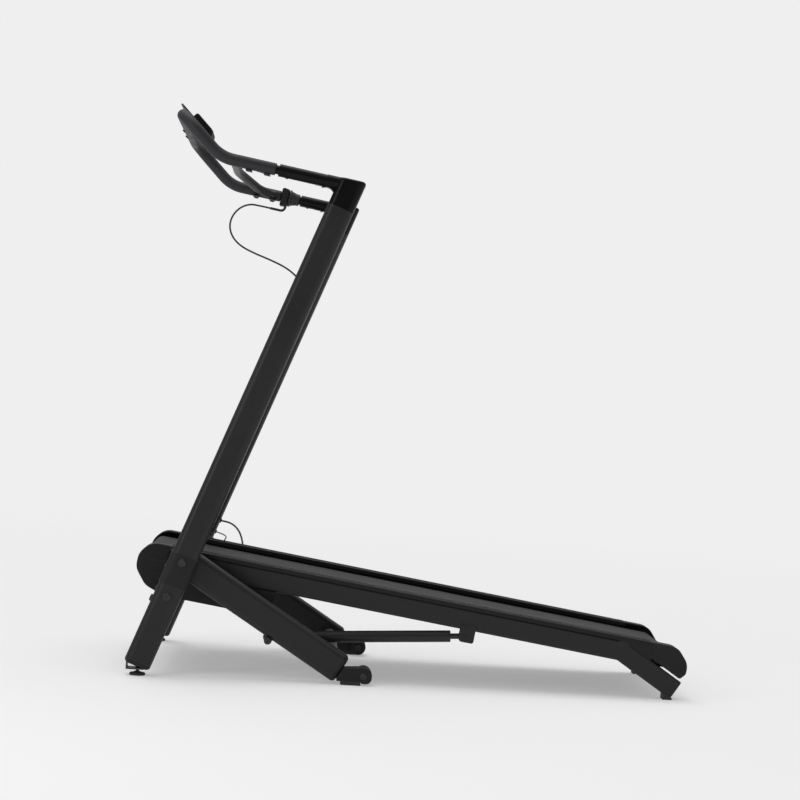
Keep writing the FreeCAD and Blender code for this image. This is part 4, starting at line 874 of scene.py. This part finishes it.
def prism(work, outline, place, y_low, y_high, bevel):
    """Flat-sided block from an outline in a frame's XZ plane, its outer rim bevelled."""
    low = [work.verts.new(on(place, x, y_low, z)) for x, z in outline]
    high = [work.verts.new(on(place, x, y_high, z)) for x, z in outline]
    work.faces.new(low)
    top = work.faces.new(list(reversed(high)))
    count = len(outline)
    for k in range(count):
        work.faces.new((low[k], high[k], high[(k + 1) % count], low[(k + 1) % count]))
    bmesh.ops.bevel(work, geom=list(top.edges), offset=bevel * MM, segments=3, affect="EDGES",
                    clamp_overlap=True)


def make_cap_facets():
    """Raised middle band on the outer side of each front cap."""
    outline = ((-41.0, -13.0), (-104.5, -18.7), (-109.0, -30.0), (-108.5, -44.0), (-101.5, -57.8),
               (-46.0, -57.0))
    for side, way in SIDES.items():
        work = bmesh.new()
        prism(work, outline, DECK, way * (CAP_OUT - 1.0), way * (CAP_OUT + 1.2), 0.9)
        shown("front_cap_band_" + side, mesh_of("front_cap_band_" + side, work), "black_plastic", "deck")


def make_rail_beads():
    """Thin bead along the lower outer edge of each side rail."""
    for side, way in SIDES.items():
        work = bmesh.new()
        outer = way * RAIL_OUT
        outline = ((250.0, -30.5), (250.0, -32.0), (1098.0, -32.0), (1098.0, -30.5))
        prism(work, outline, DECK, outer - way * 0.5, outer + way * 0.45, 0.3)
        shown("rail_bead_" + side, mesh_of("rail_bead_" + side, work), "frame_paint", "deck")


LENS_TOP = 24.0 + 17.6    # panel and display above the console's frame
BASELINE = -127.0
SEGMENTS = {"0": "abcdef", "1": "bc", "2": "abged", "5": "afgcd", ":": ":"}
DIGIT_W, DIGIT_H, STROKE = 8.0, 15.0, 1.8


def segment_boxes(sign):
    """Boxes (x, y, width, height) of one sign of the display, from its lower left corner."""
    half = DIGIT_H / 2
    bars = {"a": (0, DIGIT_H - STROKE, DIGIT_W, STROKE), "g": (0, half - STROKE / 2, DIGIT_W, STROKE),
            "d": (0, 0, DIGIT_W, STROKE), "f": (0, half, STROKE, half), "e": (0, 0, STROKE, half),
            "b": (DIGIT_W - STROKE, half, STROKE, half), "c": (DIGIT_W - STROKE, 0, STROKE, half)}
    if sign == ":":
        return [(DIGIT_W / 2 - 1, 3.5, 2, 2), (DIGIT_W / 2 - 1, 9.5, 2, 2)]
    return [bars[s] for s in SEGMENTS[sign]]


def make_readout():
    """Elapsed time on the display, in plain segments."""
    work = bmesh.new()
    pitch = DIGIT_W + 3.5
    gap = 0.15                     # at the ends and sides of each segment
    sunk, raised = 0.05, 0.12      # under and over the lens
    text = "12:05"
    left = -pitch * len(text) / 2
    for i, sign in enumerate(text):
        for u, v, w, h in segment_boxes(sign):
            y0, x0 = left + i * pitch + u, BASELINE - v
            outline = [(x0 - h + gap, y0 + gap), (x0 - gap, y0 + gap), (x0 - gap, y0 + w - gap),
                       (x0 - h + gap, y0 + w - gap)]
            low = [work.verts.new(on(CONSOLE, x, y, LENS_TOP - sunk)) for x, y in outline]
            high = [work.verts.new(on(CONSOLE, x, y, LENS_TOP + raised)) for x, y in outline]
            work.faces.new(low)
            work.faces.new(list(reversed(high)))
            for k in range(4):
                work.faces.new((low[k], high[k], high[(k + 1) % 4], low[(k + 1) % 4]))
    shown("display_readout", mesh_of("display_readout", work), "readout", "root")


# ---- studio ----------------------------------------------------------------------------------
PAPER = 0.865             # brightness of the backdrop
FLOOR_RADIUS = 60.0
FADE_FROM, FADE_TO = 1.6, 6.0     # where the floor turns into the backdrop, from the machine's middle
FLOOR_GLOW = 0.38         # share of its own light in the floor, beside the machine


def make_floor():
    """Pale floor, partly lit by itself, that runs out into the backdrop some metres away."""
    mesh = bpy.data.meshes.new("studio_floor")
    work = bmesh.new()
    bmesh.ops.create_circle(work, cap_ends=True, segments=96, radius=FLOOR_RADIUS)
    work.to_mesh(mesh)
    work.free()
    floor = bpy.data.objects.new("studio_floor", mesh)
    bpy.context.scene.collection.objects.link(floor)
    material = bpy.data.materials.new("studio_floor")
    material.use_nodes = True
    nodes = Nodes(material.node_tree)
    shader = material.node_tree.nodes["Principled BSDF"]
    shader.inputs["Base Color"].default_value = (0.86, 0.86, 0.86, 1)
    shader.inputs["Roughness"].default_value = 0.9
    glow = nodes.add("ShaderNodeEmission")
    glow.inputs["Color"].default_value = (PAPER, PAPER, PAPER, 1)
    place = nodes.add("ShaderNodeTexCoord").outputs["Object"]
    length = nodes.add("ShaderNodeVectorMath", operation="LENGTH")
    nodes.join(place, length.inputs[0])
    blend = nodes.add("ShaderNodeMixShader")
    share = nodes.span(length.outputs["Value"], FADE_FROM, FADE_TO, FLOOR_GLOW, 1.0)
    nodes.join(share, blend.inputs["Fac"])
    nodes.join(shader.outputs["BSDF"], blend.inputs[1])
    nodes.join(glow.outputs["Emission"], blend.inputs[2])
    nodes.join(blend.outputs["Shader"], material.node_tree.nodes["Material Output"].inputs["Surface"])
    mesh.materials.append(material)


def area_light(name, place, target, size, power):
    data = bpy.data.lights.new(name, "AREA")
    data.shape = "RECTANGLE"
    data.size, data.size_y = size
    data.energy = power
    lamp = bpy.data.objects.new(name, data)
    lamp.location = place
    lamp.rotation_euler = (Vector(target) - Vector(place)).to_track_quat("-Z", "Y").to_euler()
    bpy.context.scene.collection.objects.link(lamp)


def overhead_light():
    """Broad, even light from above and a little behind."""
    data = bpy.data.lights.new("overhead", "SUN")
    data.energy = 1.35
    data.angle = math.radians(50)
    lamp = bpy.data.objects.new("overhead", data)
    lamp.rotation_euler = Vector((0.12, -0.22, -1.0)).to_track_quat("-Z", "Y").to_euler()
    bpy.context.scene.collection.objects.link(lamp)


def make_studio():
    """Plain backdrop for the camera; its light on the machine is weaker from below and from the camera."""
    make_floor()
    world = bpy.data.worlds.new("studio")
    world.use_nodes = True
    tree = world.node_tree
    nodes = Nodes(tree)
    soft = tree.nodes["Background"]
    soft.inputs["Color"].default_value = (1.0, 1.0, 1.0, 1)
    parts = nodes.add("ShaderNodeSeparateXYZ")
    nodes.join(nodes.add("ShaderNodeTexCoord").outputs["Generated"], parts.inputs[0])
    overhead = nodes.span(parts.outputs["Z"], 0.0, 1.0, 0.22, 0.95)
    behind = nodes.span(parts.outputs["Y"], -1.0, 1.0, 0.5, 1.0)
    nodes.join(nodes.maths("MULTIPLY", overhead, behind), soft.inputs["Strength"])
    paper = nodes.add("ShaderNodeBackground")
    paper.inputs["Color"].default_value = (1.0, 1.0, 1.0, 1)
    paper.inputs["Strength"].default_value = PAPER
    seen = nodes.add("ShaderNodeLightPath").outputs["Is Camera Ray"]
    blend = nodes.add("ShaderNodeMixShader")
    nodes.join(seen, blend.inputs["Fac"])
    nodes.join(soft.outputs["Background"], blend.inputs[1])
    nodes.join(paper.outputs["Background"], blend.inputs[2])
    nodes.join(blend.outputs["Shader"], tree.nodes["World Output"].inputs["Surface"])
    bpy.context.scene.world = world
    bpy.context.scene.view_settings.view_transform = "Standard"
    overhead_light()
    area_light("front_left", (-3.0, -2.6, 1.8), (0, 0, 0.6), (0.8, 2.0), 26)


set_camera()
make_upper_cable()
make_folding_cable("brake_cable_fold", LOWER_LOOP, CABLE_D, "brake_cable_lower")
make_folding_cable("sensor_cable_fold", SENSOR_LOOP, SENSOR_D, "sensor_cable_lower")
finish_cad_nodes()
make_handlebar_cover()
make_step_ribs()
make_display_ribs()
make_wheel_treads()
make_foot_notches()
make_cap_screws()
make_cap_facets()
make_rail_beads()
make_readout()
make_studio()
